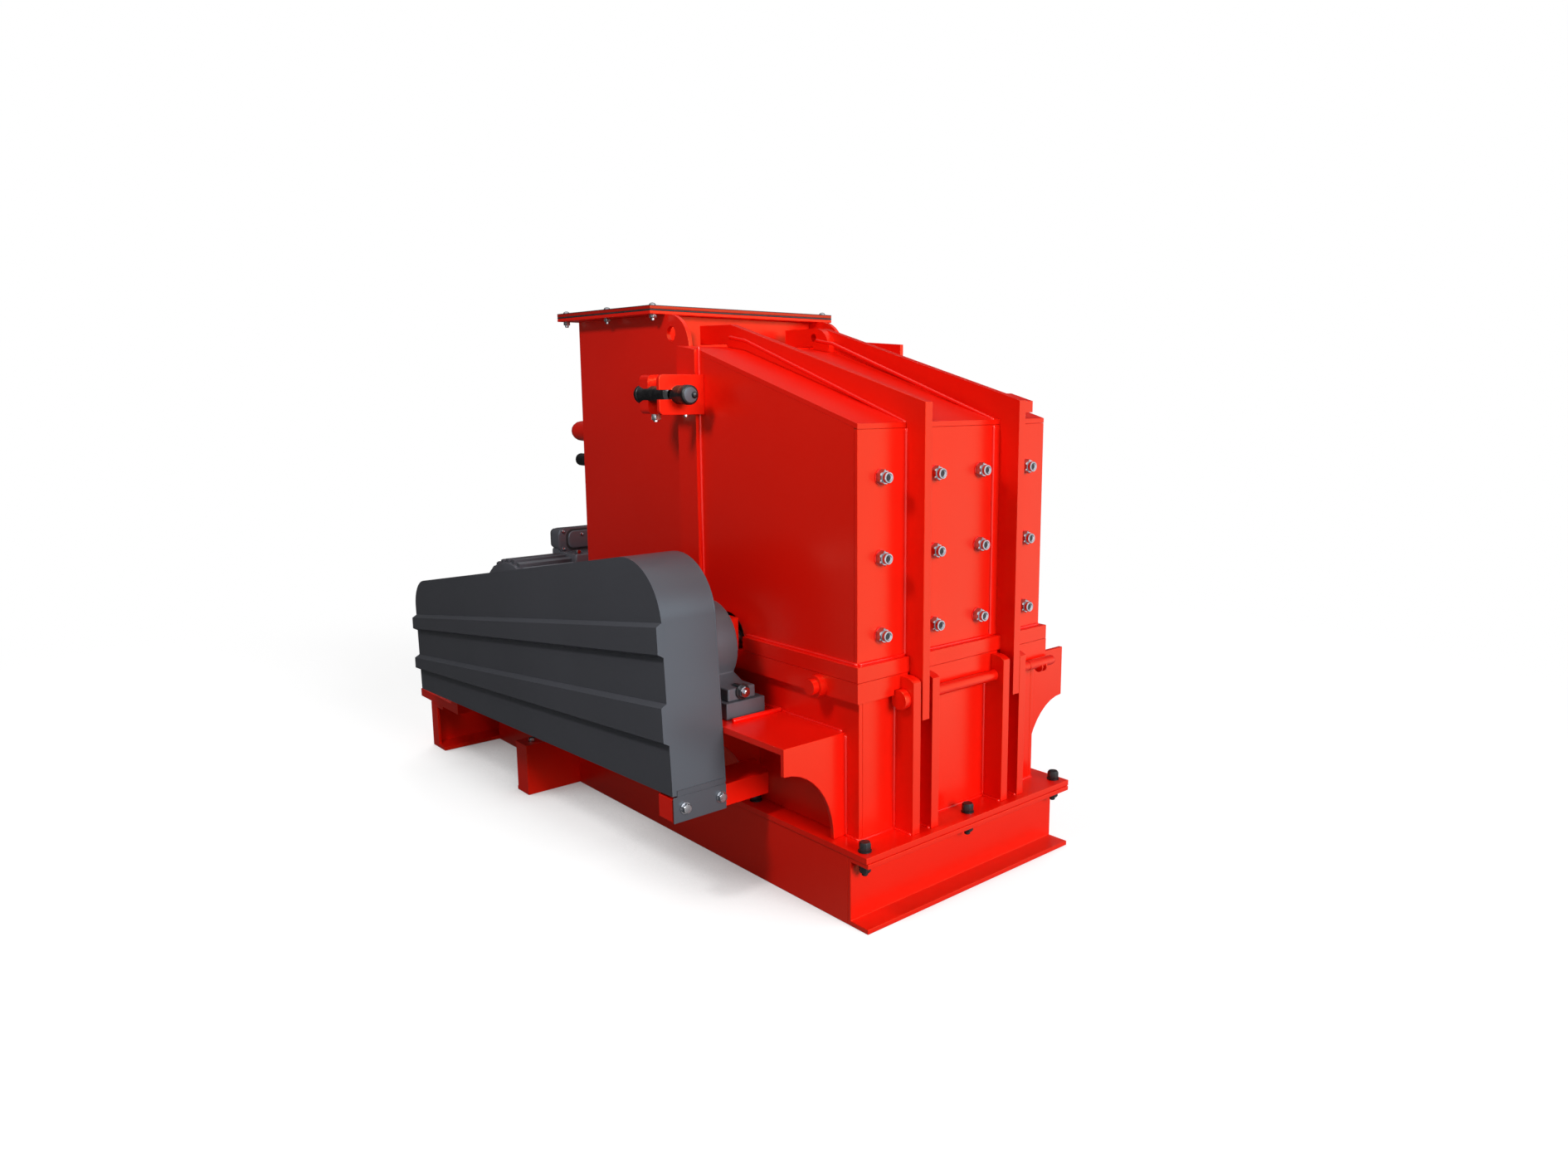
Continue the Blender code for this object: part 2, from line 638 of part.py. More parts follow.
def build_bearing(sign, mats):
    name = side_name(sign)
    base = BEARING_BASE + SEAT
    shoulder = base + BEARING_FOOT
    body_low = math.degrees(math.asin((shoulder + BEARING_FOOT / 2 - SHAFT_Z) / BEARING_BODY_R))
    side = [
        (SHAFT_X - BEARING_FOOT_HALF, base),
        (SHAFT_X + BEARING_FOOT_HALF, base),
        (SHAFT_X + BEARING_FOOT_HALF, shoulder),
        (SHAFT_X + BEARING_BODY_R + BEARING_FOOT / 2, shoulder),
        *arc(SHAFT_X, SHAFT_Z, BEARING_BODY_R, body_low, 180.0 - body_low, 22),
        (SHAFT_X - BEARING_BODY_R - BEARING_FOOT / 2, shoulder),
        (SHAFT_X - BEARING_FOOT_HALF, shoulder),
    ]
    bore = circle(SHAFT_X, SHAFT_Z, JOURNAL_R + SEAT)
    y0, y1 = span(sign, BEARING_Y - BEARING_W / 2, BEARING_Y + BEARING_W / 2)
    housing = plate(f"bearing_{name}", side, "y", y0, y1, mats["grey"], holes=[bore])
    for hub_y, out in ((y0, -BEARING_HUB), (y1, BEARING_HUB)):
        low, high = sorted((hub_y - out / 2, hub_y + out))
        hub = plate(
            f"bearing_{name}_hub_{'out' if out * sign > 0 else 'in'}",
            circle(SHAFT_X, SHAFT_Z, BEARING_HUB_R),
            "y",
            low,
            high,
            mats["grey"],
            holes=[bore],
            helper=True,
        )
        fuse(housing, hub)


def build_seal(sign, mats):
    """Split seal box round the shaft neck: square on top, round below, on the edge of the rim."""
    outline = [
        *arc(SHAFT_X, SHAFT_Z, SEAL_HALF, 180.0, 360.0, 14),
        (SHAFT_X + SEAL_HALF, SEAL_TOP),
        (SHAFT_X - SEAL_HALF, SEAL_TOP),
    ]
    bore = circle(SHAFT_X, SHAFT_Z, NECK_R + SEAT)
    y0, y1 = span(sign, RIM_HALF + SEAT, RIM_HALF + SEAT + SEAL_T)
    plate(f"shaft_seal_{side_name(sign)}", outline, "y", y0, y1, mats["red"], holes=[bore])


def build_rotor(mats):
    neck = BEARING_Y - BEARING_W / 2 - BEARING_HUB - SLIDE
    core = DISC_PITCH * (DISC_COUNT - 1) / 2 + DISC_T
    far = BEARING_Y + BEARING_W
    profile = (
        (0.0, PULLEY_Y0 - SLIDE),
        (JOURNAL_R, PULLEY_Y0 - SLIDE),
        (JOURNAL_R, -neck),
        (NECK_R, -neck),
        (NECK_R, -core - SLIDE),
        (CORE_R, -core - SLIDE),
        (CORE_R, core + SLIDE),
        (NECK_R, core + SLIDE),
        (NECK_R, neck),
        (JOURNAL_R, neck),
        (JOURNAL_R, far),
        (0.0, far),
    )
    turned("rotor_shaft", profile, (SHAFT_X, 0.0, SHAFT_Z), "y", mats["steel"])
    first = -DISC_PITCH * (DISC_COUNT - 1) / 2 - DISC_T / 2
    bore = circle(SHAFT_X, SHAFT_Z, CORE_R + SEAT)
    face = circle(SHAFT_X, SHAFT_Z, DISC_R, 32)
    discs = plate("rotor_discs", face, "y", first, first + DISC_T, mats["cast"], holes=[bore])
    for number in range(1, DISC_COUNT):
        y0 = first + number * DISC_PITCH
        fuse(
            discs,
            plate(f"disc_{number}", face, "y", y0, y0 + DISC_T, mats["cast"], holes=[bore], helper=True),
        )
    for row in range(HAMMER_ROWS):
        angle = math.tau * (row + 0.5) / HAMMER_ROWS
        x = SHAFT_X + HAMMER_PIN_CIRCLE * math.cos(angle)
        z = SHAFT_Z + HAMMER_PIN_CIRCLE * math.sin(angle)
        ends = first + DISC_T / 2
        pin = rod(
            f"hammer_pin_{row}", HAMMER_PIN_R, (x, 0.0, z), "y", ends, -ends, mats["cast"], 12, helper=True
        )
        fuse(discs, pin)
        for gap in range(DISC_COUNT - 1):
            middle = first + DISC_T / 2 + (gap + 0.5) * DISC_PITCH
            hammer = hammer_outline(x, z, angle)
            fuse(
                discs,
                plate(
                    f"hammer_{row}_{gap}",
                    hammer,
                    "y",
                    middle - HAMMER_T / 2,
                    middle + HAMMER_T / 2,
                    mats["cast"],
                    helper=True,
                ),
            )


def hammer_outline(x, z, angle):
    """A hammer that points away from the shaft: a round eye and a straight head with cut corners."""
    half, corner = HAMMER_W / 2, HAMMER_W / 8
    local = [
        *arc(0.0, 0.0, half * 0.8, 100.0, 260.0, 6),
        (HAMMER_PIN_R * 2, -half),
        (HAMMER_LENGTH - corner, -half),
        (HAMMER_LENGTH, -half + corner),
        (HAMMER_LENGTH, half - corner),
        (HAMMER_LENGTH - corner, half),
        (HAMMER_PIN_R * 2, half),
    ]
    c, s = math.cos(angle), math.sin(angle)
    return [(x + a * c - b * s, z + a * s + b * c) for a, b in local]


def build_front_housing(mats):
    red = mats["red"]
    low, high = RIM_Z1 + SEAT, FLANGE_Z - SEAT
    crown_z = high - CROWN_R
    side = [
        (FRONT_X0, low),
        (FRONT_PLATE_X1, low),
        (FRONT_PLATE_X1, FRONT_PLATE_CUT_Z),
        (CROWN_X, FRONT_PLATE_CUT_Z),
        *arc(CROWN_X - CROWN_R, crown_z, CROWN_R, 0.0, 90.0, 10),
        (FRONT_X0, high),
    ]
    lift_hole = circle(LIFT_HOLE_X, LIFT_HOLE_Z, LIFT_HOLE_R, 16)
    for sign in (-1, 1):
        y0, y1 = span(sign, FRONT_HALF - PLATE, FRONT_HALF)
        plate(f"front_side_{side_name(sign)}", side, "y", y0, y1, red, holes=[lift_hole])
    inner = FRONT_HALF - PLATE - SEAT
    front = rectangle(-inner, inner, low, high)
    front_wall = plate("front_wall", front, "x", FRONT_X0, FRONT_X0 + PLATE, red)
    for sign in (-1, 1):
        fuse(front_wall, *adjuster(sign, mats))
    mouth_back = [
        (MOUTH_X1 - PLATE, high),
        (MOUTH_X1 - PLATE, MOUTH_SHELF_Z - PLATE),
        (REAR_X0 - STRIP - SLIDE, MOUTH_SHELF_Z - PLATE),
        (REAR_X0 - STRIP - SLIDE, MOUTH_SHELF_Z),
        (MOUTH_X1, MOUTH_SHELF_Z),
        (MOUTH_X1, high),
    ]
    plate("mouth_back_wall", mouth_back, "y", -inner, inner, red)

    ring = rectangle(FLANGE_X0, FLANGE_X1, -FLANGE_HALF, FLANGE_HALF)
    opening = rectangle(FRONT_X0 + PLATE, MOUTH_X1 - PLATE, -FRONT_HALF + PLATE, FRONT_HALF - PLATE)
    level = FLANGE_Z
    layers = (
        ("inlet_flange", FLANGE_T, "red"),
        ("inlet_gasket", GASKET_T, "rubber"),
        ("inlet_counter_flange", FLANGE_T, "red"),
    )
    for name, thickness, finish in layers:
        plate(name, ring, "z", level, level + thickness, mats[finish], holes=[opening])
        level += thickness + SEAT


def adjuster(sign, mats):
    """Pad, domed boss and cap of one apron adjuster, welded to the feed-side wall near its side edge."""
    name = f"adjuster_{side_name(sign)}"
    back = FRONT_X0
    y = sign * ADJUSTER_Y
    half = ADJUSTER_R + ADJUSTER_PAD_LIP
    y0, y1 = span(sign, ADJUSTER_Y - half, FRONT_HALF - PLATE - ADJUSTER_PAD_LIP)
    pad_outline = rectangle(y0, y1, ADJUSTER_CAP_Z - half, ADJUSTER_Z + half)
    pad = plate(f"{name}_pad", pad_outline, "x", back - ADJUSTER_PAD, back + PLATE / 2, mats["red"], helper=True)
    dome = [
        (ADJUSTER_R * math.cos(angle), -ADJUSTER_OUT + ADJUSTER_DOME * (1.0 - math.sin(angle)))
        for angle in (math.pi / 2 * i / 6 for i in range(7))
    ]
    dome[-1] = (0.0, dome[-1][1])
    inside = -ADJUSTER_PAD / 2
    boss = turned(
        f"{name}_boss",
        [(0.0, inside), (ADJUSTER_R, inside), *dome],
        (back, y, ADJUSTER_Z),
        "x",
        mats["red"],
        16,
        helper=True,
    )
    cap = rod(
        f"{name}_cap",
        ADJUSTER_CAP_R,
        (back, y, ADJUSTER_CAP_Z),
        "x",
        -ADJUSTER_CAP_OUT,
        inside,
        mats["black"],
        16,
        helper=True,
    )
    return pad, boss, cap


def slotted_tab(inner, outer, slot_r):
    """Outline of a clamp plate, as (distance from the middle plane, z), with a slot open to the outside."""
    middle = (CLAMP_Z0 + CLAMP_Z1) / 2
    r = CLAMP_CORNER_R
    return [
        (inner, CLAMP_Z0),
        *arc(outer - r, CLAMP_Z0 + r, r, 270.0, 360.0, 4),
        (outer, middle - slot_r),
        *arc(CLAMP_Y, middle, slot_r, 270.0, 90.0, 8),
        (outer, middle + slot_r),
        *arc(outer - r, CLAMP_Z1 - r, r, 0.0, 90.0, 4),
        (inner, CLAMP_Z1),
    ]


def build_front_clamp(sign, mats):
    """Bracket on the fixed front housing with its stop screw, whose tip faces the other bracket."""
    name = f"clamp_front_{side_name(sign)}"
    outline = slotted_tab(FRONT_HALF + SEAT, CLAMP_FRONT_OUT, SCREW_R * 0.6)
    if sign < 0:
        outline = mirrored(outline)
    bracket = plate(name, outline, "x", CLAMP_FRONT_X0, CLAMP_FRONT_X1, mats["red"])
    middle = (CLAMP_Z0 + CLAMP_Z1) / 2
    head = CLAMP_FRONT_X0 - SCREW_HEAD
    tip = CLAMP_REAR_X0 - SLIDE
    profile = (
        (0.0, head),
        (SCREW_HEAD_R, head),
        (SCREW_HEAD_R, CLAMP_FRONT_X0 - SCREW_HEAD / 3),
        (SCREW_R, CLAMP_FRONT_X0),
        (SCREW_R, tip - SCREW_R),
        (SCREW_R * 0.7, tip),
        (0.0, tip),
    )
    fuse(bracket, turned(f"{name}_screw", profile, (0.0, sign * CLAMP_Y, middle), "x", mats["black"], 20, True))


def build_rear_clamp(sign, mats):
    """Bracket on the rear housing with the cap that closes its slot."""
    name = f"clamp_rear_{side_name(sign)}"
    outline = slotted_tab(REAR_HALF + SEAT, CLAMP_REAR_OUT, SCREW_R * 0.6)
    if sign < 0:
        outline = mirrored(outline)
    bracket = plate(name, outline, "x", CLAMP_REAR_X0, CLAMP_REAR_X1, mats["red"])
    middle = (CLAMP_Z0 + CLAMP_Z1) / 2
    centre = (0.0, sign * CLAMP_Y, middle)
    low, high = CLAMP_REAR_X0 + PLATE / 3, CLAMP_REAR_X1 + CAP_OUT
    fuse(bracket, rod(f"{name}_cap", CAP_R, centre, "x", low, high, mats["black"], 20, True))
    return bracket


def roof_top(x):
    """Height of the roof's upper face."""
    if x < ROOF_BREAK_X:
        start = REAR_X0 - STRIP
        return ROOF_FRONT_Z + (ROOF_BREAK_Z - ROOF_FRONT_Z) * (x - start) / (ROOF_BREAK_X - start)
    return ROOF_BREAK_Z + (ROOF_END_Z - ROOF_BREAK_Z) * (x - ROOF_BREAK_X) / (REAR_X1 - ROOF_BREAK_X)


def rib_side():
    """Side of a rib: along the roof, over the edge, down the end face and on to its hinge tongue."""
    face = REAR_X1 + SEAT
    flange = RIM_X1 + SEAT
    slope = (ROOF_END_Z - ROOF_BREAK_Z) / (REAR_X1 - ROOF_BREAK_X)
    start = REAR_X0 - STRIP
    return [
        (RIB_X1, RIB_END_Z),
        (RIB_RIDGE_X, RIB_RIDGE_Z),
        (RIB_FRONT_X, RIB_FRONT_Z),
        (RIB_FRONT_X, RIB_FRONT_UNDER),
        (start - SLIDE, RIB_FRONT_UNDER),
        (start, roof_top(start) + SEAT),
        (ROOF_BREAK_X, ROOF_BREAK_Z + SEAT),
        (face, roof_top(face) + SEAT * math.hypot(1.0, slope)),
        (face, REAR_FLANGE_TOP + SEAT),
        (flange, REAR_FLANGE_TOP + SEAT),
        (flange, RIM_Z1 - PLATE / 2),
        *arc(PIN_X, PIN_Z, EYE_R, 150.0, 270.0, 8),
        (RIB_X1, TONGUE_Z),
    ]


def build_rear_housing(mats):
    red = mats["red"]
    pieces = []
    start = REAR_X0 - STRIP
    flange_inner_x = RIM_INNER_X1
    flange = [
        (REAR_FLANGE_X0, -RIM_HALF),
        (RIM_X1, -RIM_HALF),
        (RIM_X1, RIM_HALF),
        (REAR_FLANGE_X0, RIM_HALF),
        (REAR_FLANGE_X0, REAR_FLANGE_INNER),
        (flange_inner_x, REAR_FLANGE_INNER),
        (flange_inner_x, -REAR_FLANGE_INNER),
        (REAR_FLANGE_X0, -REAR_FLANGE_INNER),
    ]
    pieces.append(plate("rear_flange", flange, "z", RIM_Z1 + SEAT, REAR_FLANGE_TOP, red))

    inner_end = REAR_X1 - PLATE
    slope_drop = PLATE * math.hypot(1.0, (ROOF_BREAK_Z - ROOF_END_Z) / (REAR_X1 - ROOF_BREAK_X))
    under = slope_drop + SEAT
    low = RIM_Z1 + SEAT
    wall = [
        (REAR_X0, low),
        (SHAFT_X - NOTCH_R, low),
        *arc(SHAFT_X, SHAFT_Z, NOTCH_R, 180.0, 0.0, 14),
        (SHAFT_X + NOTCH_R, low),
        (REAR_FLANGE_X0 - SEAT, low),
        (REAR_FLANGE_X0 - SEAT, REAR_FLANGE_TOP + SEAT),
        (inner_end - SEAT, REAR_FLANGE_TOP + SEAT),
        (inner_end - SEAT, roof_top(inner_end) - under),
        (ROOF_BREAK_X, ROOF_BREAK_Z - under),
        (REAR_X0, roof_top(REAR_X0) - under),
    ]
    for sign in (-1, 1):
        y0, y1 = span(sign, REAR_HALF - PLATE, REAR_HALF)
        side = plate(f"rear_side_{side_name(sign)}", wall, "y", y0, y1, red)
        pieces.append(side)
        strip = [
            (start, sign * (REAR_HALF + STRIP)),
            (ROOF_BREAK_X, sign * (REAR_HALF + STRIP)),
            (ROOF_BREAK_X, sign * (REAR_HALF - PLATE / 2)),
            (REAR_X0 + PLATE / 2, sign * (REAR_HALF - PLATE / 2)),
            (REAR_X0 + PLATE / 2, sign * (FRONT_HALF + SLIDE)),
            (start, sign * (FRONT_HALF + SLIDE)),
        ]
        top = ROOF_BREAK_Z - under
        name = f"seam_strip_{side_name(sign)}"
        head_name = f"seam_strip_head_{side_name(sign)}"
        fuse(side, plate(name, strip, "z", low, top, red, helper=True), strip_head(sign, top, head_name, mats))
    end = rectangle(-REAR_HALF, REAR_HALF, REAR_FLANGE_TOP + SEAT, roof_top(REAR_X1) - under)
    pieces.append(plate("rear_end_wall", end, "x", inner_end, REAR_X1, red))
    roof = [
        (start, ROOF_FRONT_Z),
        (start, ROOF_FRONT_Z - slope_drop),
        (ROOF_BREAK_X, ROOF_BREAK_Z - slope_drop),
        (REAR_X1, ROOF_END_Z - slope_drop),
        (REAR_X1, ROOF_END_Z),
        (ROOF_BREAK_X, ROOF_BREAK_Z),
    ]
    rear_roof = plate("rear_roof", roof, "y", -REAR_HALF, REAR_HALF, red)
    fuse(rear_roof, side_lug(mats))
    pieces.append(rear_roof)

    liner_half = REAR_HALF - PLATE - LINER_GAP
    liner = rectangle(
        -liner_half, liner_half, REAR_FLANGE_TOP + LINER_RISE, roof_top(inner_end) - under - LINER_GAP
    )
    pieces.append(plate("impact_liner", liner, "x", inner_end - SEAT - LINER, inner_end - SEAT, mats["cast"]))

    eye = circle(PIN_X, PIN_Z, PIN_R + PIN_PLAY, 20)
    for sign in (-1, 1):
        y0, y1 = span(sign, RIB_IN, RIB_OUT)
        rib = plate(f"rib_{side_name(sign)}", rib_side(), "y", y0, y1, red, holes=[eye])
        pieces.append(rib)
        if sign > 0:
            fuse(rib, rib_pad(y1, mats), lifting_lug(y0, mats))
        pieces.append(build_rear_clamp(sign, mats))
    return pieces


def strip_head(sign, strip_top, name, mats):
    """Top of a seam strip, which goes on beside the roof's edge up to the roof's upper face."""
    x0, x1 = REAR_X0 - STRIP + SEAT, ROOF_BREAK_X - SEAT
    outline = [(x0, strip_top - PLATE), (x1, strip_top - PLATE), (x1, ROOF_BREAK_Z), (x0, ROOF_FRONT_Z)]
    y0, y1 = span(sign, REAR_HALF + SEAT, REAR_HALF + STRIP - SEAT)
    return plate(name, outline, "y", y0, y1, mats["red"], helper=True)


def side_lug(mats):
    """Plate that stands on the far edge of the roof, with its top along the roof's front slope."""
    outline = [
        (SIDE_LUG_X0, roof_top(SIDE_LUG_X0) - PLATE / 2),
        (ROOF_BREAK_X, ROOF_BREAK_Z - PLATE / 2),
        (SIDE_LUG_X1, roof_top(SIDE_LUG_X1) - PLATE / 2),
        (SIDE_LUG_X1, ROOF_BREAK_Z + SIDE_LUG_RISE),
        (SIDE_LUG_X0, ROOF_FRONT_Z + SIDE_LUG_RISE),
    ]
    return plate("side_lug", outline, "y", REAR_HALF - PLATE, REAR_HALF, mats["red"], helper=True)


def rib_pad(rib_face, mats):
    """Short bar on the outer side of the far rib, a step inside the rib's end and top."""
    slope = (RIB_RIDGE_Z - RIB_END_Z) / (RIB_RIDGE_X - RIB_X1)
    end_x, end_z = RIB_X1 - RIB_PAD_STEP, RIB_END_Z - RIB_PAD_STEP
    back_x = end_x - RIB_PAD_LENGTH
    back_z = end_z - slope * RIB_PAD_LENGTH
    outline = [(back_x, back_z - RIB_PAD_DROP), (end_x, end_z - RIB_PAD_DROP), (end_x, end_z), (back_x, back_z)]
    return plate(
        "rib_pad", outline, "y", rib_face - PLATE / 2, rib_face + RIB_PAD_WIDTH, mats["red"], helper=True
    )


def lifting_lug(rib_face, mats):
    """Thick plate on the inner side of the far rib, with a rounded rear corner and a lifting hole."""
    top = RIB_FRONT_Z - PLATE / 4
    foot_x0, foot_x1 = REAR_X0 - STRIP, LUG_X1
    r = LUG_CORNER_R
    outline = [
        (RIB_FRONT_X, RIB_FRONT_UNDER),
        (foot_x0 - SLIDE, RIB_FRONT_UNDER),
        (foot_x0, roof_top(foot_x0) + SEAT * 2),
        (foot_x1, roof_top(foot_x1) + SEAT * 2),
        *arc(foot_x1 - r, top - r, r, 0.0, 90.0, 6),
        (RIB_FRONT_X, top),
    ]
    hole = circle(foot_x0, (RIB_FRONT_UNDER + top) / 2, PIN_R, 12)
    return plate(
        "lifting_lug", outline, "y", rib_face - LUG_T, rib_face + PLATE / 2, mats["red"], [hole], helper=True
    )


def tangent_loop(r_left, r_right):
    """Outline of a belt round the two pulleys, as (x, z)."""
    dx, dz = SHAFT_X - MOTOR_X, SHAFT_Z - MOTOR_SHAFT_Z
    reach = math.hypot(dx, dz)
    lean = math.degrees(math.atan2(dz, dx))
    open_angle = math.degrees(math.acos((r_left - r_right) / reach))
    right = arc(SHAFT_X, SHAFT_Z, r_right, lean - open_angle, lean + open_angle, 20)
    left = arc(MOTOR_X, MOTOR_SHAFT_Z, r_left, lean + open_angle, lean + 360.0 - open_angle, 14)
    return right + left


def guard_outline(inset):
    """Side of the belt guard, drawn in by inset on every edge, as (x, z)."""
    left_r, right_r = GUARD_LEFT_R - inset, GUARD_RIGHT_R - inset
    left_x = GUARD_X0 + GUARD_LEFT_R
    right_x = GUARD_X1 - GUARD_RIGHT_LEAN - GUARD_RIGHT_R
    lean = math.degrees(math.atan2(GUARD_RIGHT_TOP - GUARD_LEFT_TOP, right_x - left_x))
    return [
        (GUARD_X0 + GUARD_LEFT_TAPER + inset, GUARD_LEFT_BOTTOM + inset),
        (GUARD_X1 - inset, GUARD_RIGHT_BOTTOM + inset),
        *arc(right_x, GUARD_RIGHT_TOP - GUARD_RIGHT_R, right_r, 0.0, 90.0 + lean, 12),
        *arc(left_x, GUARD_LEFT_TOP - GUARD_LEFT_R, left_r, 90.0 + lean, 180.0, 8),
    ]


def guard_right(z):
    """Where the guard's right side stands at this height: it leans back towards its round top."""
    rise = GUARD_RIGHT_TOP - GUARD_RIGHT_R - GUARD_RIGHT_BOTTOM
    share = min(1.0, max(0.0, (z - GUARD_RIGHT_BOTTOM) / rise))
    return GUARD_X1 - GUARD_RIGHT_LEAN * share


def swage(number, mats):
    """One raised band pressed into the guard's face, wider to the right, with sloping edges."""
    (top0, low0), (top1, low1) = SWAGE_LEFT[number], SWAGE_RIGHT[number]
    foot_y, crest_y = GUARD_Y0 + GUARD_SHEET / 2, GUARD_Y0 - SWAGE_OUT
    ends = ((lambda z: GUARD_X0 + GUARD_SHEET, top0, low0), (guard_right, top1, low1))
    bm = bmesh.new()
    sections = []
    for end_x, top, low in ends:
        profile = (
            (foot_y, low),
            (crest_y, low + SWAGE_SLOPE),
            (crest_y, top - SWAGE_SLOPE),
            (foot_y, top),
        )
        sections.append([bm.verts.new((end_x(z), y, z)) for y, z in profile])
    bm.faces.new(sections[0])
    bm.faces.new(sections[1])
    for i in range(4):
        bm.faces.new((sections[0][i - 1], sections[0][i], sections[1][i], sections[1][i - 1]))
    bmesh.ops.recalc_face_normals(bm, faces=bm.faces[:])
    return add_object(f"guard_swage_{number}", bm, mats["grey"], helper=True)


def build_guard(mats):
    guard = plate("belt_guard", guard_outline(0.0), "y", GUARD_Y0, GUARD_Y1, mats["grey"])
    hollow = plate(
        "guard_hollow",
        guard_outline(GUARD_SHEET),
        "y",
        GUARD_Y0 + GUARD_SHEET,
        GUARD_Y1 + PLATE,
        mats["grey"],
        helper=True,
    )
    fuse(guard, *(swage(number, mats) for number in range(len(SWAGE_LEFT))))
    cut(guard, hollow)
    strip = plate(
        "guard_strip",
        rectangle(GUARD_Y0 + PLATE, GUARD_Y1 - SEAT, GUARD_STRIP_Z0, GUARD_RIGHT_BOTTOM + PLATE),
        "x",
        GUARD_X1 - GUARD_SHEET,
        GUARD_X1 + GUARD_SHEET / 2,
        mats["grey"],
        helper=True,
    )
    fuse(guard, strip)
    holes = [
        circle(SHAFT_X, SHAFT_Z, JOURNAL_R * 1.6),
        circle(MOTOR_X, MOTOR_SHAFT_Z, MOTOR_SHAFT_R * 1.6),
    ]
    back0 = GUARD_Y1 + SEAT
    plate("guard_back", guard_outline(SEAT), "y", back0, back0 + GUARD_SHEET, mats["grey"], holes=holes)

    arm_x1 = GUARD_X1 - GUARD_SHEET - SEAT
    gusset_face = gusset_x(1) + PLATE + SEAT
    arm = [
        (arm_x1 - ARM_W, GUARD_Y0 + SEAT),
        (arm_x1, GUARD_Y0 + SEAT),
        (arm_x1, -LOWER_HALF - ARM_END),
        (gusset_face, -LOWER_HALF - ARM_FOOT_END),
        (gusset_face, -LOWER_HALF - ARM_FOOT_END - ARM_FOOT_WIDTH),
    ]
    plate("guard_arm", arm, "z", ARM_Z0, ARM_TOP, mats["red"])
    foot = [
        (GUARD_FOOT_X0, MOTOR_BEAM_TOP + SEAT),
        (GUARD_FOOT_X1, MOTOR_BEAM_TOP + SEAT),
        (GUARD_FOOT_X1, GUARD_LEFT_BOTTOM - SEAT),
        (GUARD_POST_X0, GUARD_LEFT_BOTTOM - SEAT),
        (GUARD_POST_X0, FOOT_TOP),
        (GUARD_FOOT_X0, FOOT_TOP),
    ]
    plate("guard_foot", foot, "y", MOTOR_BEAM_NEAR, MOTOR_BEAM_NEAR + GUARD_FOOT_W, mats["red"])


def build_drive(mats):
    pulleys = (
        ("rotor_pulley", SHAFT_X, SHAFT_Z, ROTOR_PULLEY_R, JOURNAL_R),
        ("motor_pulley", MOTOR_X, MOTOR_SHAFT_Z, MOTOR_PULLEY_R, MOTOR_SHAFT_R),
    )
    for name, x, z, radius, bore in pulleys:
        plate(
            name,
            circle(x, z, radius, 32),
            "y",
            PULLEY_Y0,
            PULLEY_Y1,
            mats["cast"],
            holes=[circle(x, z, bore + SEAT)],
        )
    outer = tangent_loop(MOTOR_PULLEY_R + SEAT * 5 + BELT_T, ROTOR_PULLEY_R + SEAT * 5 + BELT_T)
    inner = tangent_loop(MOTOR_PULLEY_R + SEAT * 5, ROTOR_PULLEY_R + SEAT * 5)
    low, high = PULLEY_Y0 + BELT_EDGE, PULLEY_Y1 - BELT_EDGE
    plate("drive_belts", outer, "y", low, high, mats["rubber"], holes=[inner])


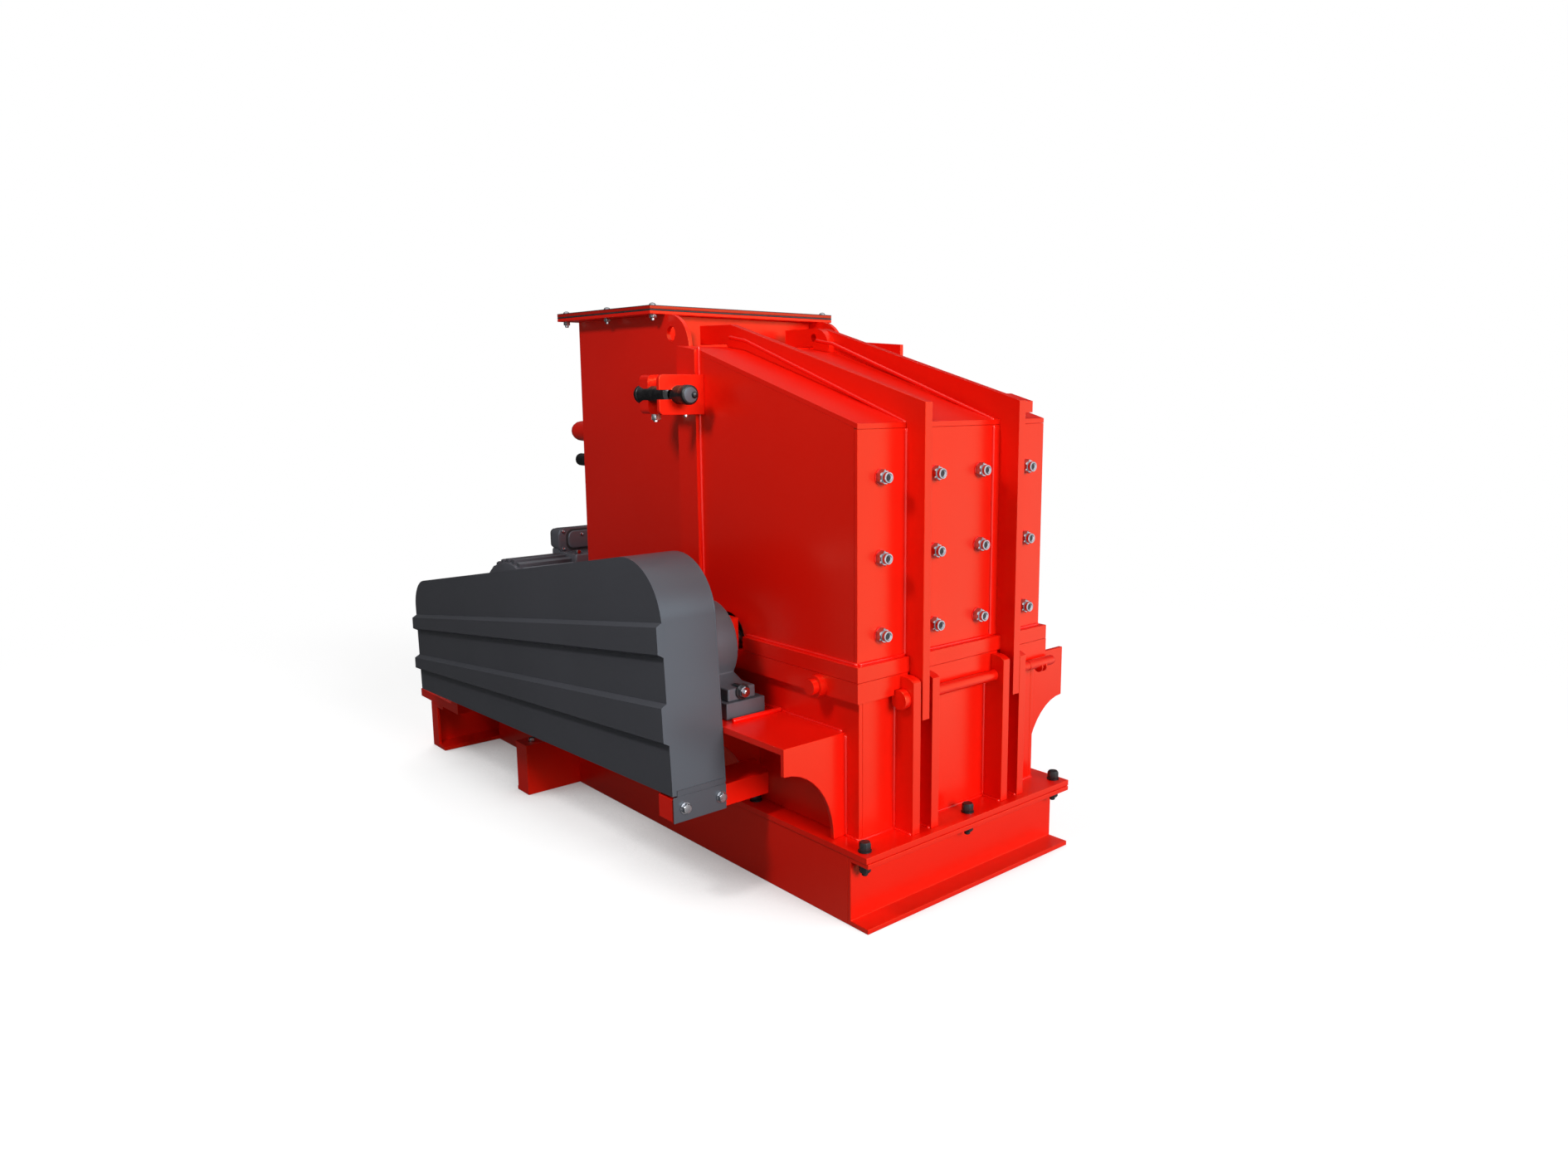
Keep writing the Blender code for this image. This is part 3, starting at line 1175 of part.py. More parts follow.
def build_motor(mats):
    grey = mats["grey"]
    for name, y in (("near", RAIL_NEAR_Y), ("far", RAIL_FAR_Y)):
        rail = rectangle(MOTOR_BEAM_X0, MIDDLE_BEAM_X1, y - RAIL_W / 2, y + RAIL_W / 2)
        plate(f"motor_rail_{name}", rail, "z", MOTOR_BEAM_TOP + SEAT, MOTOR_RAIL_TOP, mats["red"])
    ring = []
    for number in range(MOTOR_FINS):
        middle = math.tau * (number + 0.5) / MOTOR_FINS
        for part, radius in ((-0.26, 0.0), (-0.22, MOTOR_FIN), (0.22, MOTOR_FIN), (0.26, 0.0)):
            angle = middle + part * math.tau / MOTOR_FINS
            r = MOTOR_R + radius
            ring.append((MOTOR_X + r * math.cos(angle), MOTOR_SHAFT_Z + r * math.sin(angle)))
    body = plate("motor_body", ring, "y", MOTOR_Y0 + PLATE * 3, MOTOR_Y1, grey)
    shield = (
        (0.0, PULLEY_Y0 + PLATE),
        (MOTOR_SHAFT_R, PULLEY_Y0 + PLATE),
        (MOTOR_SHAFT_R, MOTOR_Y0 - PLATE * 2),
        (MOTOR_R * 0.45, MOTOR_Y0 - PLATE * 2),
        (MOTOR_R * 0.55, MOTOR_Y0),
        (MOTOR_R * 0.92, MOTOR_Y0 + PLATE),
        (MOTOR_R + MOTOR_FIN / 2, MOTOR_Y0 + PLATE * 2),
        (MOTOR_R + MOTOR_FIN / 2, MOTOR_Y0 + PLATE * 4),
        (0.0, MOTOR_Y0 + PLATE * 4),
    )
    centre = (MOTOR_X, 0.0, MOTOR_SHAFT_Z)
    fuse(body, turned("motor_shield", shield, centre, "y", grey, 32, helper=True))
    foot_top = MOTOR_RAIL_TOP + PLATE * 2
    for name, y in (("near", RAIL_NEAR_Y), ("far", RAIL_FAR_Y)):
        foot = [
            (MOTOR_X - MOTOR_FOOT_HALF, MOTOR_RAIL_TOP + SEAT),
            (MOTOR_X + MOTOR_FOOT_HALF, MOTOR_RAIL_TOP + SEAT),
            (MOTOR_X + MOTOR_FOOT_HALF, foot_top),
            (MOTOR_X + MOTOR_R * 0.75, foot_top + PLATE * 3),
            (MOTOR_X + MOTOR_R * 0.70, MOTOR_SHAFT_Z - MOTOR_R * 0.4),
            (MOTOR_X - MOTOR_R * 0.70, MOTOR_SHAFT_Z - MOTOR_R * 0.4),
            (MOTOR_X - MOTOR_R * 0.75, foot_top + PLATE * 3),
            (MOTOR_X - MOTOR_FOOT_HALF, foot_top),
        ]
        y0, y1 = y - RAIL_W * 0.4, y + RAIL_W * 0.4
        fuse(body, plate(f"motor_foot_{name}", foot, "y", y0, y1, grey, helper=True))
    cowl = (
        (0.0, MOTOR_Y1 + SEAT),
        (COWL_R + MOTOR_FIN / 2, MOTOR_Y1 + SEAT),
        (COWL_R + MOTOR_FIN / 2, COWL_Y1 - PLATE * 2),
        (COWL_R, COWL_Y1 - PLATE / 2),
        (COWL_R * 0.86, COWL_Y1),
        (0.0, COWL_Y1),
    )
    turned("motor_fan_cowl", cowl, centre, "y", grey, 32)
    base = MOTOR_SHAFT_Z + MOTOR_R + MOTOR_FIN
    box_top = base + BOX_HEIGHT
    box = [
        (MOTOR_X - BOX_HALF * 0.8, base + SEAT),
        (MOTOR_X + BOX_HALF * 0.8, base + SEAT),
        (MOTOR_X + BOX_HALF, base + BOX_HEIGHT * 0.5),
        (MOTOR_X + BOX_HALF, box_top - PLATE),
        (MOTOR_X + BOX_HALF - PLATE, box_top),
        (MOTOR_X - BOX_HALF + PLATE, box_top),
        (MOTOR_X - BOX_HALF, box_top - PLATE),
        (MOTOR_X - BOX_HALF, base + BOX_HEIGHT * 0.5),
    ]
    plate("motor_terminal_box", box, "y", BOX_Y0, BOX_Y1, grey)


def build_supports(mats):
    near_plinth = rectangle(SHAFT_X - PLINTH_HALF, SHAFT_X + PLINTH_HALF, CONSOLE_TOP + SEAT, BEARING_BASE)
    plate("bearing_plinth", near_plinth, "y", -PLINTH_OUT, -PLINTH_IN, mats["grey"])
    build_console(-1, CONSOLE_TOP, CONSOLE_TOP - CONSOLE_T / 2, mats)
    build_console(1, BEARING_BASE, FAR_HORN_TOP, mats)
    for sign in (-1, 1):
        build_bearing(sign, mats)
        build_seal(sign, mats)


def settle(moving):
    """Moves the model over its footprint's middle, with the swinging pieces under an empty on the hinge."""
    root = bpy.data.objects.new("crusher_origin", None)
    hinge = bpy.data.objects.new("rear_housing_hinge", None)
    for empty in (root, hinge):
        bpy.context.scene.collection.objects.link(empty)
    hinge.location = CENTRE + Vector((PIN_X, 0.0, PIN_Z))
    hinge.parent = root
    on_hinge = {piece.name for piece in moving}
    for obj in bpy.data.objects:
        if obj.type != "MESH":
            continue
        if obj.name in on_hinge or obj.name.startswith(("lifting_lug", "clamp_rear", "side_lug", "rib_pad")):
            obj.parent = hinge
            obj.location = -Vector((PIN_X, 0.0, PIN_Z))
        else:
            obj.parent = root
            obj.location = CENTRE


def main():
    clear_scene()
    mats = make_materials()
    build_base(mats)
    build_lower_housing(mats)
    build_hinge(mats)
    build_supports(mats)
    build_rotor(mats)
    build_front_housing(mats)
    for sign in (-1, 1):
        build_front_clamp(sign, mats)
    moving = build_rear_housing(mats)
    build_guard(mats)
    build_drive(mats)
    build_motor(mats)
    settle(moving)


main()
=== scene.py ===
"""Looks of a belt-driven hammer crusher: enamel, eased plates, fasteners, weld beads, trim and the stage.

Places are in metres in the frame's own axes: +X to the hinged end, -Y to the belt guard, +Z up.
"""

import json
import math

import bmesh
import bpy
import numpy as np
from mathutils import Matrix, Vector

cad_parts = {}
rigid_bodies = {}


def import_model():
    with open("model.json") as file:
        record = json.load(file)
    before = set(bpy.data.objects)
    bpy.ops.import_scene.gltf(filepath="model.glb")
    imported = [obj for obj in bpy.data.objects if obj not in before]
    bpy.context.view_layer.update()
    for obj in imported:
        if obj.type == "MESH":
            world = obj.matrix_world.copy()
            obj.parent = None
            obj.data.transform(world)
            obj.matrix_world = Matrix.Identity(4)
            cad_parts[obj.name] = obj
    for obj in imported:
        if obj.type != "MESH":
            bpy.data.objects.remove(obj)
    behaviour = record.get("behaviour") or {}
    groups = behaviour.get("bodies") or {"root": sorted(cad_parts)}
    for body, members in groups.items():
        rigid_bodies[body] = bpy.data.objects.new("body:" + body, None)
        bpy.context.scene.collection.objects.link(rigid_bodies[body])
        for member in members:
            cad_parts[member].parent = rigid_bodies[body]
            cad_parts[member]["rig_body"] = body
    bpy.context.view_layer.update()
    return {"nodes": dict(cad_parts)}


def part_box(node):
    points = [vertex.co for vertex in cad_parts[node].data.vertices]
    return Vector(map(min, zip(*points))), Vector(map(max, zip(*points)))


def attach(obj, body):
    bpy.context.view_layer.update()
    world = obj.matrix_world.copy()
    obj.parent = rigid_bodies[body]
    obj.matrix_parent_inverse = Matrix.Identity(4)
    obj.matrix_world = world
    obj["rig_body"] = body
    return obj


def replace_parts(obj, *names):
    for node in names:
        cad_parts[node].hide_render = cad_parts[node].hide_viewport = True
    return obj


bl_info = {
    "name": "Hammer crusher finish",
    "version": (1, 0, 0),
    "blender": (4, 5, 0),
    "location": "View3D > Sidebar > Crusher",
    "description": "Dresses the crusher's frame with enamel, fasteners, weld beads, motor trim and a stage",
    "category": "Object",
}

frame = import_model()
NODES = frame["nodes"]
FIXED = "fixed_plant"
SWING = "rear_housing"

# Camera, solved from the photo's edges
CAMERA_PLACE = (2.8061, -1.9136, 1.2571)
CAMERA_FORWARD = (-0.7275, 0.6668, -0.1618)
CAMERA_RIGHT = (0.6757, 0.7372, 0.0)
CAMERA_LENS = 25.12
CAMERA_SHIFT = (-0.0471, -0.0135)

AXES = {
    "+x": ((0, 1, 0), (0, 0, 1), (1, 0, 0)),
    "-x": ((0, -1, 0), (0, 0, 1), (-1, 0, 0)),
    "+y": ((0, 0, 1), (1, 0, 0), (0, 1, 0)),
    "+z": ((1, 0, 0), (0, 1, 0), (0, 0, 1)),
    "-z": ((-1, 0, 0), (0, 1, 0), (0, 0, -1)),
}


def box(node):
    """Lowest and highest corner of a node at rest, as arrays."""
    low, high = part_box(node)
    return np.array(low), np.array(high)


RIM_LOW, RIM_HIGH = box("lower_rim")
MIDDLE_Y = (RIM_LOW[1] + RIM_HIGH[1]) / 2
END_LOW, END_HIGH = box("rear_end_wall")
FOOT_LOW, FOOT_HIGH = box("foot_flange")
SHAFT_LOW, SHAFT_HIGH = box("rotor_shaft")
PIN_LOW, PIN_HIGH = box("hinge_pin")
SHAFT_TO_DATUM = 0.020
DATUM = np.array(((SHAFT_LOW[0] + SHAFT_HIGH[0]) / 2 + SHAFT_TO_DATUM, MIDDLE_Y, 0.0))


def at(x, y, z):
    """A place on the part's own drawing, whose origin lies 20 mm off the rotor shaft in the middle plane."""
    return DATUM + (x, y, z)


# Settings

class PaintSettings(bpy.types.PropertyGroup):
    red: bpy.props.FloatVectorProperty(
        name="Red enamel", description="Colour of the housings and the base", subtype="COLOR",
        default=(0.79, 0.005, 0.0015), min=0.0, max=1.0,
    )
    grey: bpy.props.FloatVectorProperty(
        name="Grey enamel", description="Colour of the guard, the bearings and the motor", subtype="COLOR",
        default=(0.068, 0.068, 0.078), min=0.0, max=1.0,
    )
    gloss: bpy.props.FloatProperty(
        name="Enamel roughness", description="0 is a mirror and 1 is matt", default=0.295, min=0.05, max=1.0,
    )
    eased: bpy.props.FloatProperty(
        name="Eased edge", description="Width of the rounding on plate edges", default=0.0014,
        min=0.0002, max=0.004, unit="LENGTH",
    )


class FastenerSettings(bpy.types.PropertyGroup):
    liner_nut: bpy.props.FloatProperty(
        name="Liner nut", description="Width across the flats of the nuts on the end face", default=0.032,
        min=0.01, max=0.06, unit="LENGTH",
    )
    base_bolt: bpy.props.FloatProperty(
        name="Base bolt", description="Width across the flats of the bolts in the foot flange", default=0.026,
        min=0.01, max=0.05, unit="LENGTH",
    )
    inlet_bolt: bpy.props.FloatProperty(
        name="Inlet bolt", description="Width across the flats of the bolts round the feed mouth",
        default=0.019, min=0.008, max=0.04, unit="LENGTH",
    )
    guard_bolt: bpy.props.FloatProperty(
        name="Guard bolt", description="Width across the flats of the guard's bolts", default=0.022,
        min=0.008, max=0.04, unit="LENGTH",
    )


class WeldSettings(bpy.types.PropertyGroup):
    radius: bpy.props.FloatProperty(
        name="Bead radius", description="Radius of a painted weld bead", default=0.0050,
        min=0.002, max=0.012, unit="LENGTH",
    )
    ripple: bpy.props.FloatProperty(
        name="Ripple", description="Share of the radius by which a bead swells and shrinks", default=0.015,
        min=0.0, max=0.3,
    )
    pitch: bpy.props.FloatProperty(
        name="Ripple pitch", description="Distance from one ripple to the next", default=0.016,
        min=0.003, max=0.03, unit="LENGTH",
    )


class StageSettings(bpy.types.PropertyGroup):
    key: bpy.props.FloatProperty(
        name="Key lamp", description="Strength of the soft lamp over the hinged end",
        default=2.95, min=0.0, max=20.0,
    )
    side: bpy.props.FloatProperty(
        name="Side lamp", description="Watts of the near lamp on the guard's side",
        default=33.0, min=0.0, max=200.0,
    )
    back: bpy.props.FloatProperty(
        name="Back lamp", description="Strength of the soft lamp on the motor's side",
        default=1.5, min=0.0, max=20.0,
    )
    fill: bpy.props.FloatProperty(
        name="Sky", description="Level of the even light from all round",
        default=0.22, min=0.0, max=2.0,
    )


# Materials

NOISE_ROUGHNESS = 0.55
DRIFT_SCALE = 2.2
SHEEN_SCALE = 6.0
PEEL_SCALE = 260.0
METAL_TONE_SCALE = 55.0
METAL_GLOSS_SCALE = 90.0
RUBBER_TONE_SCALE = 30.0
RUBBER_GLOSS_SCALE = 60.0
RUBBER_GRAIN_SCALE = 400.0
FINE_RELIEF = 0.0004
GRAIN_RELIEF = 0.0005
ENAMEL_SPECULAR = 0.55
RUBBER_DARK = (0.010, 0.010, 0.011)
RUBBER_LIGHT = (0.024, 0.024, 0.026)


def node_material(name, build):
    """A Principled material whose nodes are added by build(tree, shader, place)."""
    material = bpy.data.materials.new(name)
    material.use_nodes = True
    tree = material.node_tree
    shader = tree.nodes["Principled BSDF"]
    place = tree.nodes.new("ShaderNodeTexCoord").outputs["Object"]
    build(tree, shader, place)
    return material


def noise(tree, place, scale, detail=3.0):
    """Noise that reads Object coordinates, with about scale swells to a metre."""
    texture = tree.nodes.new("ShaderNodeTexNoise")
    texture.inputs["Scale"].default_value = scale
    texture.inputs["Detail"].default_value = detail
    texture.inputs["Roughness"].default_value = NOISE_ROUGHNESS
    tree.links.new(place, texture.inputs["Vector"])
    return texture.outputs["Fac"]


def spread(tree, value, low, high, start=0.25, end=0.75):
    """Maps a texture's value from start..end to low..high by a smooth step, held at both ends."""
    node = tree.nodes.new("ShaderNodeMapRange")
    node.interpolation_type = "SMOOTHSTEP"
    node.inputs["From Min"].default_value = start
    node.inputs["From Max"].default_value = end
    node.inputs["To Min"].default_value = low
    node.inputs["To Max"].default_value = high
    tree.links.new(value, node.inputs["Value"])
    return node.outputs["Result"]


def two_tone(tree, factor, first, second):
    """Colour between two tones, by factor."""
    mix = tree.nodes.new("ShaderNodeMix")
    mix.data_type = "RGBA"
    mix.inputs["A"].default_value = (*first, 1.0)
    mix.inputs["B"].default_value = (*second, 1.0)
    tree.links.new(factor, mix.inputs["Factor"])
    return mix.outputs["Result"]


def blended(tree, factor, first, second):
    """Number between two numbers or sockets, by factor."""
    mix = tree.nodes.new("ShaderNodeMix")
    tree.links.new(factor, mix.inputs["Factor"])
    for socket, value in (("A", first), ("B", second)):
        if isinstance(value, float):
            mix.inputs[socket].default_value = value
        else:
            tree.links.new(value, mix.inputs[socket])
    return mix.outputs["Result"]


def bump(tree, shader, height, distance, strength):
    """Bump from a height, whose distance is in metres."""
    node = tree.nodes.new("ShaderNodeBump")
    node.inputs["Distance"].default_value = distance
    node.inputs["Strength"].default_value = strength
    tree.links.new(height, node.inputs["Height"])
    tree.links.new(node.outputs["Normal"], shader.inputs["Normal"])


def scaled(colour, factor):
    return tuple(min(1.0, channel * factor) for channel in colour)


def enamel(name, colour, gloss, tone, tint, peel=0.0):
    """Sprayed enamel: a broad drift of tone and of gloss, a tinted sheen and, on castings, orange peel."""

    def build(tree, shader, place):
        drift = spread(tree, noise(tree, place, DRIFT_SCALE), 0.0, 1.0)
        colours = two_tone(tree, drift, scaled(colour, 1.0 - tone), scaled(colour, 1.0 + tone))
        tree.links.new(colours, shader.inputs["Base Color"])
        sheen = spread(tree, noise(tree, place, SHEEN_SCALE), gloss * 0.95, gloss * 1.08)
        tree.links.new(sheen, shader.inputs["Roughness"])
        shader.inputs["Specular IOR Level"].default_value = ENAMEL_SPECULAR
        shader.inputs["Specular Tint"].default_value = (*tint, 1.0)
        if peel:
            bump(tree, shader, noise(tree, place, PEEL_SCALE, 2.0), FINE_RELIEF, peel)

    return node_material(name, build)


def metal(name, dark, light, roughness, metallic=1.0, grain=180.0, relief=0.08):
    """Machined or plated metal: two tones, uneven gloss and a fine grain."""

    def build(tree, shader, place):
        cloud = spread(tree, noise(tree, place, METAL_TONE_SCALE, 4.0), 0.0, 1.0)
        tree.links.new(two_tone(tree, cloud, dark, light), shader.inputs["Base Color"])
        gloss = spread(tree, noise(tree, place, METAL_GLOSS_SCALE), roughness * 0.75, roughness * 1.3)
        tree.links.new(gloss, shader.inputs["Roughness"])
        shader.inputs["Metallic"].default_value = metallic
        bump(tree, shader, noise(tree, place, grain, 4.0), GRAIN_RELIEF, relief)

    return node_material(name, build)


def rubber(name):
    """Black rubber: a dull, faintly mottled surface."""

    def build(tree, shader, place):
        cloud = spread(tree, noise(tree, place, RUBBER_TONE_SCALE), 0.0, 1.0)
        tree.links.new(two_tone(tree, cloud, RUBBER_DARK, RUBBER_LIGHT), shader.inputs["Base Color"])
        gloss = spread(tree, noise(tree, place, RUBBER_GLOSS_SCALE), 0.55, 0.8)
        tree.links.new(gloss, shader.inputs["Roughness"])
        bump(tree, shader, noise(tree, place, RUBBER_GRAIN_SCALE), FINE_RELIEF, 0.2)

    return node_material(name, build)


FINISHES = {}
WARM_SHEEN = (1.0, 0.90, 0.36)
PALE_SHEEN = (1.0, 0.85, 0.75)
COOL_SHEEN = (0.58, 0.84, 1.0)
BLACKENED = (0.014, 0.014, 0.016), (0.035, 0.034, 0.036)
WORN_STEEL = (0.10, 0.085, 0.075), (0.26, 0.24, 0.22)


def make_finishes(paint):
    red, grey, gloss = tuple(paint.red), tuple(paint.grey), paint.gloss
    FINISHES["red"] = enamel("red_enamel_finish", red, gloss, 0.02, WARM_SHEEN)
    FINISHES["bead"] = enamel("red_bead_finish", scaled(red, 1.06), gloss * 0.8, 0.03, PALE_SHEEN)
    # The red darkened to 0.55 is painted shade, laid on the whole inlet counter flange.
    FINISHES["shade"] = enamel("red_enamel_painted_shade_finish", scaled(red, 0.55), gloss, 0.02, WARM_SHEEN)
    FINISHES["grey"] = enamel("grey_enamel_finish", grey, gloss * 1.2, 0.05, COOL_SHEEN)
    FINISHES["cast"] = enamel("grey_casting_finish", scaled(grey, 1.45), gloss * 1.1, 0.06, COOL_SHEEN, 0.05)
    # The grey lightened 1.9 times for the terminal box is a painted reflection, standing for the bright
    # glossy highlights on its lid and block.
    FINISHES["box"] = enamel("terminal_box_painted_reflection_finish", scaled(grey, 1.9), gloss * 0.7, 0.06, COOL_SHEEN)
    FINISHES["chrome"] = metal("plated_nut_finish", (0.30, 0.30, 0.33), (0.48, 0.48, 0.52), 0.13)
    FINISHES["bright"] = metal("bright_steel_finish", (0.74, 0.75, 0.79), (0.92, 0.93, 0.95), 0.20)
    FINISHES["zinc"] = metal("zinc_bolt_finish", (0.30, 0.31, 0.33), (0.46, 0.47, 0.50), 0.26)
    FINISHES["black"] = metal("blackened_bolt_finish", *BLACKENED, 0.34, metallic=0.55)
    FINISHES["steel"] = metal("bare_steel_finish", (0.34, 0.34, 0.36), (0.55, 0.55, 0.57), 0.30)
    FINISHES["worn"] = metal("worn_steel_finish", *WORN_STEEL, 0.50, metallic=0.9, grain=60.0, relief=0.6)
    FINISHES["rubber"] = rubber("black_rubber_finish")


# Surfaces

# Radius at which a turned profile closes
TIP = 0.0004


def turned_grid(profile, axis, steps=24, across=None):
    """A profile turned about an axis: at height h and angle t the point is r(h) from the axis.

    Where across is given, the radius is also held inside a hexagon of that width: the smaller of r(h) and
    (across / 2) / cos(((t + 30) mod 60) - 30), with t in degrees.
    """
    radius, height = np.array(profile, float).T
    turn = np.arange(steps) * math.tau / steps
    radii = np.repeat(radius[:, None], steps, axis=1)
    if across:
        sixth = math.tau / 6
        flat = across / 2 / np.cos(np.mod(turn + sixth / 2, sixth) - sixth / 2)
        radii = np.minimum(radii, flat)
    side, up, out = (np.array(direction, float) for direction in AXES[axis])
    ring = np.cos(turn)[:, None] * side + np.sin(turn)[:, None] * up
    return radii[..., None] * ring + height[:, None, None] * out


def block_grid(half_a, half_b, corner, layers, axis, steps=5):
    """A rounded slab: rings of one rounded rectangle, each drawn in by an inset at its own height.

    A ring's point is its corner's centre plus (corner - inset) times (cos t, sin t), t running a quarter
    turn in each of the four corners.
    """
    inset, height = np.array(layers, float).T
    quarter = np.linspace(0.0, math.pi / 2, steps)
    turn = (np.arange(4)[:, None] * math.pi / 2 + quarter).ravel()
    sign_a = np.repeat((1, -1, -1, 1), steps)
    sign_b = np.repeat((1, 1, -1, -1), steps)
    radius = np.maximum(corner - inset, 0.0002)[:, None]
    reach_a = half_a - inset[:, None] - radius
    reach_b = half_b - inset[:, None] - radius
    a = sign_a * reach_a + radius * np.cos(turn)
    b = sign_b * reach_b + radius * np.sin(turn)
    side, up, out = (np.array(direction, float) for direction in AXES[axis])
    return a[..., None] * side + b[..., None] * up + height[:, None, None] * out


def bead_grid(path, radius, ripple, pitch, steps=8):
    """A weld bead: a round profile carried along a path, whose radius swells by ripple times a rounded saw.

    Its ends are drawn in as the square root of 1 - (1 - s / radius) squared, s being the way to the end.
    """
    corners = np.array(path, float)
    runs = np.linalg.norm(np.diff(corners, axis=0), axis=1)
    marks = np.concatenate(((0.0,), np.cumsum(runs)))
    total = marks[-1]
    count = max(6, int(total / (pitch / 2)))
    ends = radius * np.array((0.02, 0.12, 0.35, 0.7))
    s = np.concatenate((ends, np.linspace(radius, total - radius, count), total - ends[::-1]))
    centre = np.stack([np.interp(s, marks, corners[:, i]) for i in range(3)], axis=1)
    way = np.gradient(centre, s, axis=0)
    way /= np.linalg.norm(way, axis=1, keepdims=True)
    guide = np.array((0.31, 0.53, 0.79))
    side = np.cross(way, guide)
    side /= np.linalg.norm(side, axis=1, keepdims=True)
    up = np.cross(way, side)
    to_end = np.clip(np.minimum(s, total - s) / radius, 0.0, 1.0)
    taper = np.sqrt(1.0 - (1.0 - to_end) ** 2)
    saw = np.abs(np.sin(np.pi * s / pitch + 0.7 * np.sin(s * 41.0)))
    size = radius * taper * (1.0 + ripple * saw)
    turn = np.arange(steps) * math.tau / steps
    ring = np.cos(turn)[None, :, None] * side[:, None] + np.sin(turn)[None, :, None] * up[:, None]
    return centre[:, None] + size[:, None, None] * ring


class Shapes:
    """Closed grids gathered into one mesh. Each grid closes on itself sideways and is capped at both ends."""

    def __init__(self):
        self.points = []
        self.faces = []
        self.count = 0

    def add(self, grid, places=((0.0, 0.0, 0.0),)):
        rows, columns = grid.shape[:2]
        index = np.arange(rows * columns).reshape(rows, columns)
        following = np.roll(index, -1, axis=1)
        quads = np.stack((index[:-1], following[:-1], following[1:], index[1:]), axis=-1).reshape(-1, 4)
        caps = np.stack((index[0, ::-1], index[-1]))
        places = np.array(places, float).reshape(-1, 3)
        flat = grid.reshape(-1, 3)
        starts = self.count + np.arange(len(places)) * len(flat)
        self.points.append((flat[None] + places[:, None]).reshape(-1, 3))
        self.faces += (quads[None] + starts[:, None, None]).reshape(-1, 4).tolist()
        self.faces += (caps[None] + starts[:, None, None]).reshape(-1, columns).tolist()
        self.count += len(places) * len(flat)
        return self

    def make(self, name, finish, body, smooth=32.0):
        mesh = bpy.data.meshes.new(name)
        mesh.from_pydata(np.concatenate(self.points).tolist(), [], self.faces)
        work = bmesh.new()
        work.from_mesh(mesh)
        bmesh.ops.recalc_face_normals(work, faces=work.faces[:])
        work.to_mesh(mesh)
        work.free()
        mesh.shade_smooth()
        mesh.set_sharp_from_angle(angle=math.radians(smooth))
        mesh.materials.append(FINISHES[finish])
        piece = bpy.data.objects.new(name, mesh)
        bpy.context.scene.collection.objects.link(piece)
        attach(piece, body)
        return piece


# Plates

MERGE = 0.00001
FLAT_ANGLE = math.radians(0.6)
EASED_ANGLE = math.radians(28.0)


def near_axes(mesh, centres, reach, high_x):
    """Marks the faces whose corners all lie within reach of one of the axes along X, up to high_x."""
    places = np.empty(len(mesh.vertices) * 3)
    mesh.vertices.foreach_get("co", places)
    places = places.reshape(-1, 3)
    across = places[:, None, 1:] - np.array(centres)[None, :, 1:]
    away = np.hypot(across[..., 0], across[..., 1]).min(axis=1)
    inside = (away < reach) & (places[:, 0] < high_x)
    corners = np.empty(len(mesh.loops), np.int32)
    mesh.loops.foreach_get("vertex_index", corners)
    starts = np.empty(len(mesh.polygons), np.int32)
    mesh.polygons.foreach_get("loop_start", starts)
    return np.logical_and.reduceat(inside[corners], starts)


def eased_copy(node, finish, width, segments, second):
    """A copy of a plate whose edges are rounded, which stands for the plate. Second is None, or the (finish,
    centres, reach, high x) of the round parts on it that have a finish of their own."""
    source = NODES[node]
    mesh = source.data.copy()
    mesh.name = f"{node}_eased"
    work = bmesh.new()
    work.from_mesh(mesh)
    bmesh.ops.remove_doubles(work, verts=work.verts[:], dist=MERGE)
    bmesh.ops.dissolve_limit(work, angle_limit=FLAT_ANGLE, verts=work.verts[:], edges=work.edges[:])
    work.to_mesh(mesh)
    work.free()
    mesh.materials.clear()
    mesh.materials.append(FINISHES[finish])
    if second:
        mesh.materials.append(FINISHES[second[0]])
        mesh.polygons.foreach_set("material_index", near_axes(mesh, *second[1:]).astype(np.int32))
    mesh.shade_smooth()
    piece = bpy.data.objects.new(f"{node}_eased", mesh)
    bpy.context.scene.collection.objects.link(piece)
    bevel = piece.modifiers.new("eased_edges", "BEVEL")
    bevel.width = width
    bevel.segments = segments
    bevel.limit_method = "ANGLE"
    bevel.angle_limit = EASED_ANGLE
    weights = piece.modifiers.new("even_shading", "WEIGHTED_NORMAL")
    weights.keep_sharp = False
    weights.weight = 80
    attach(piece, source["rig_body"])
    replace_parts(piece, node)
    return piece


# Axes and reach of the black screws and caps that are one with the clamps and the front wall
CLAMP_Y = 0.414
CLAMP_Z = 1.2385
CLAMP_REACH = 0.0262
CAP_Y = 0.248
CAP_Z = 1.026
CAP_REACH = 0.0215
CAP_LENGTH = 0.103
REBUILT = ("motor_terminal_box",)
PLATES = (
    (("rotor_shaft",), "steel", 1.0),
    (("rotor_discs", "impact_liner", "rotor_pulley", "motor_pulley"), "worn", 1.0),
    (("inlet_gasket", "drive_belts"), "rubber", 0.5),
    (("belt_guard", "guard_back"), "grey", 0.8),
    (("bearing_near", "bearing_far"), "cast", 3.2),
    (("bearing_plinth", "motor_body", "motor_fan_cowl"), "cast", 1.5),
    # The inlet counter flange takes the red darkened by painted shade.
    (("inlet_counter_flange",), "shade", 1.0),
)


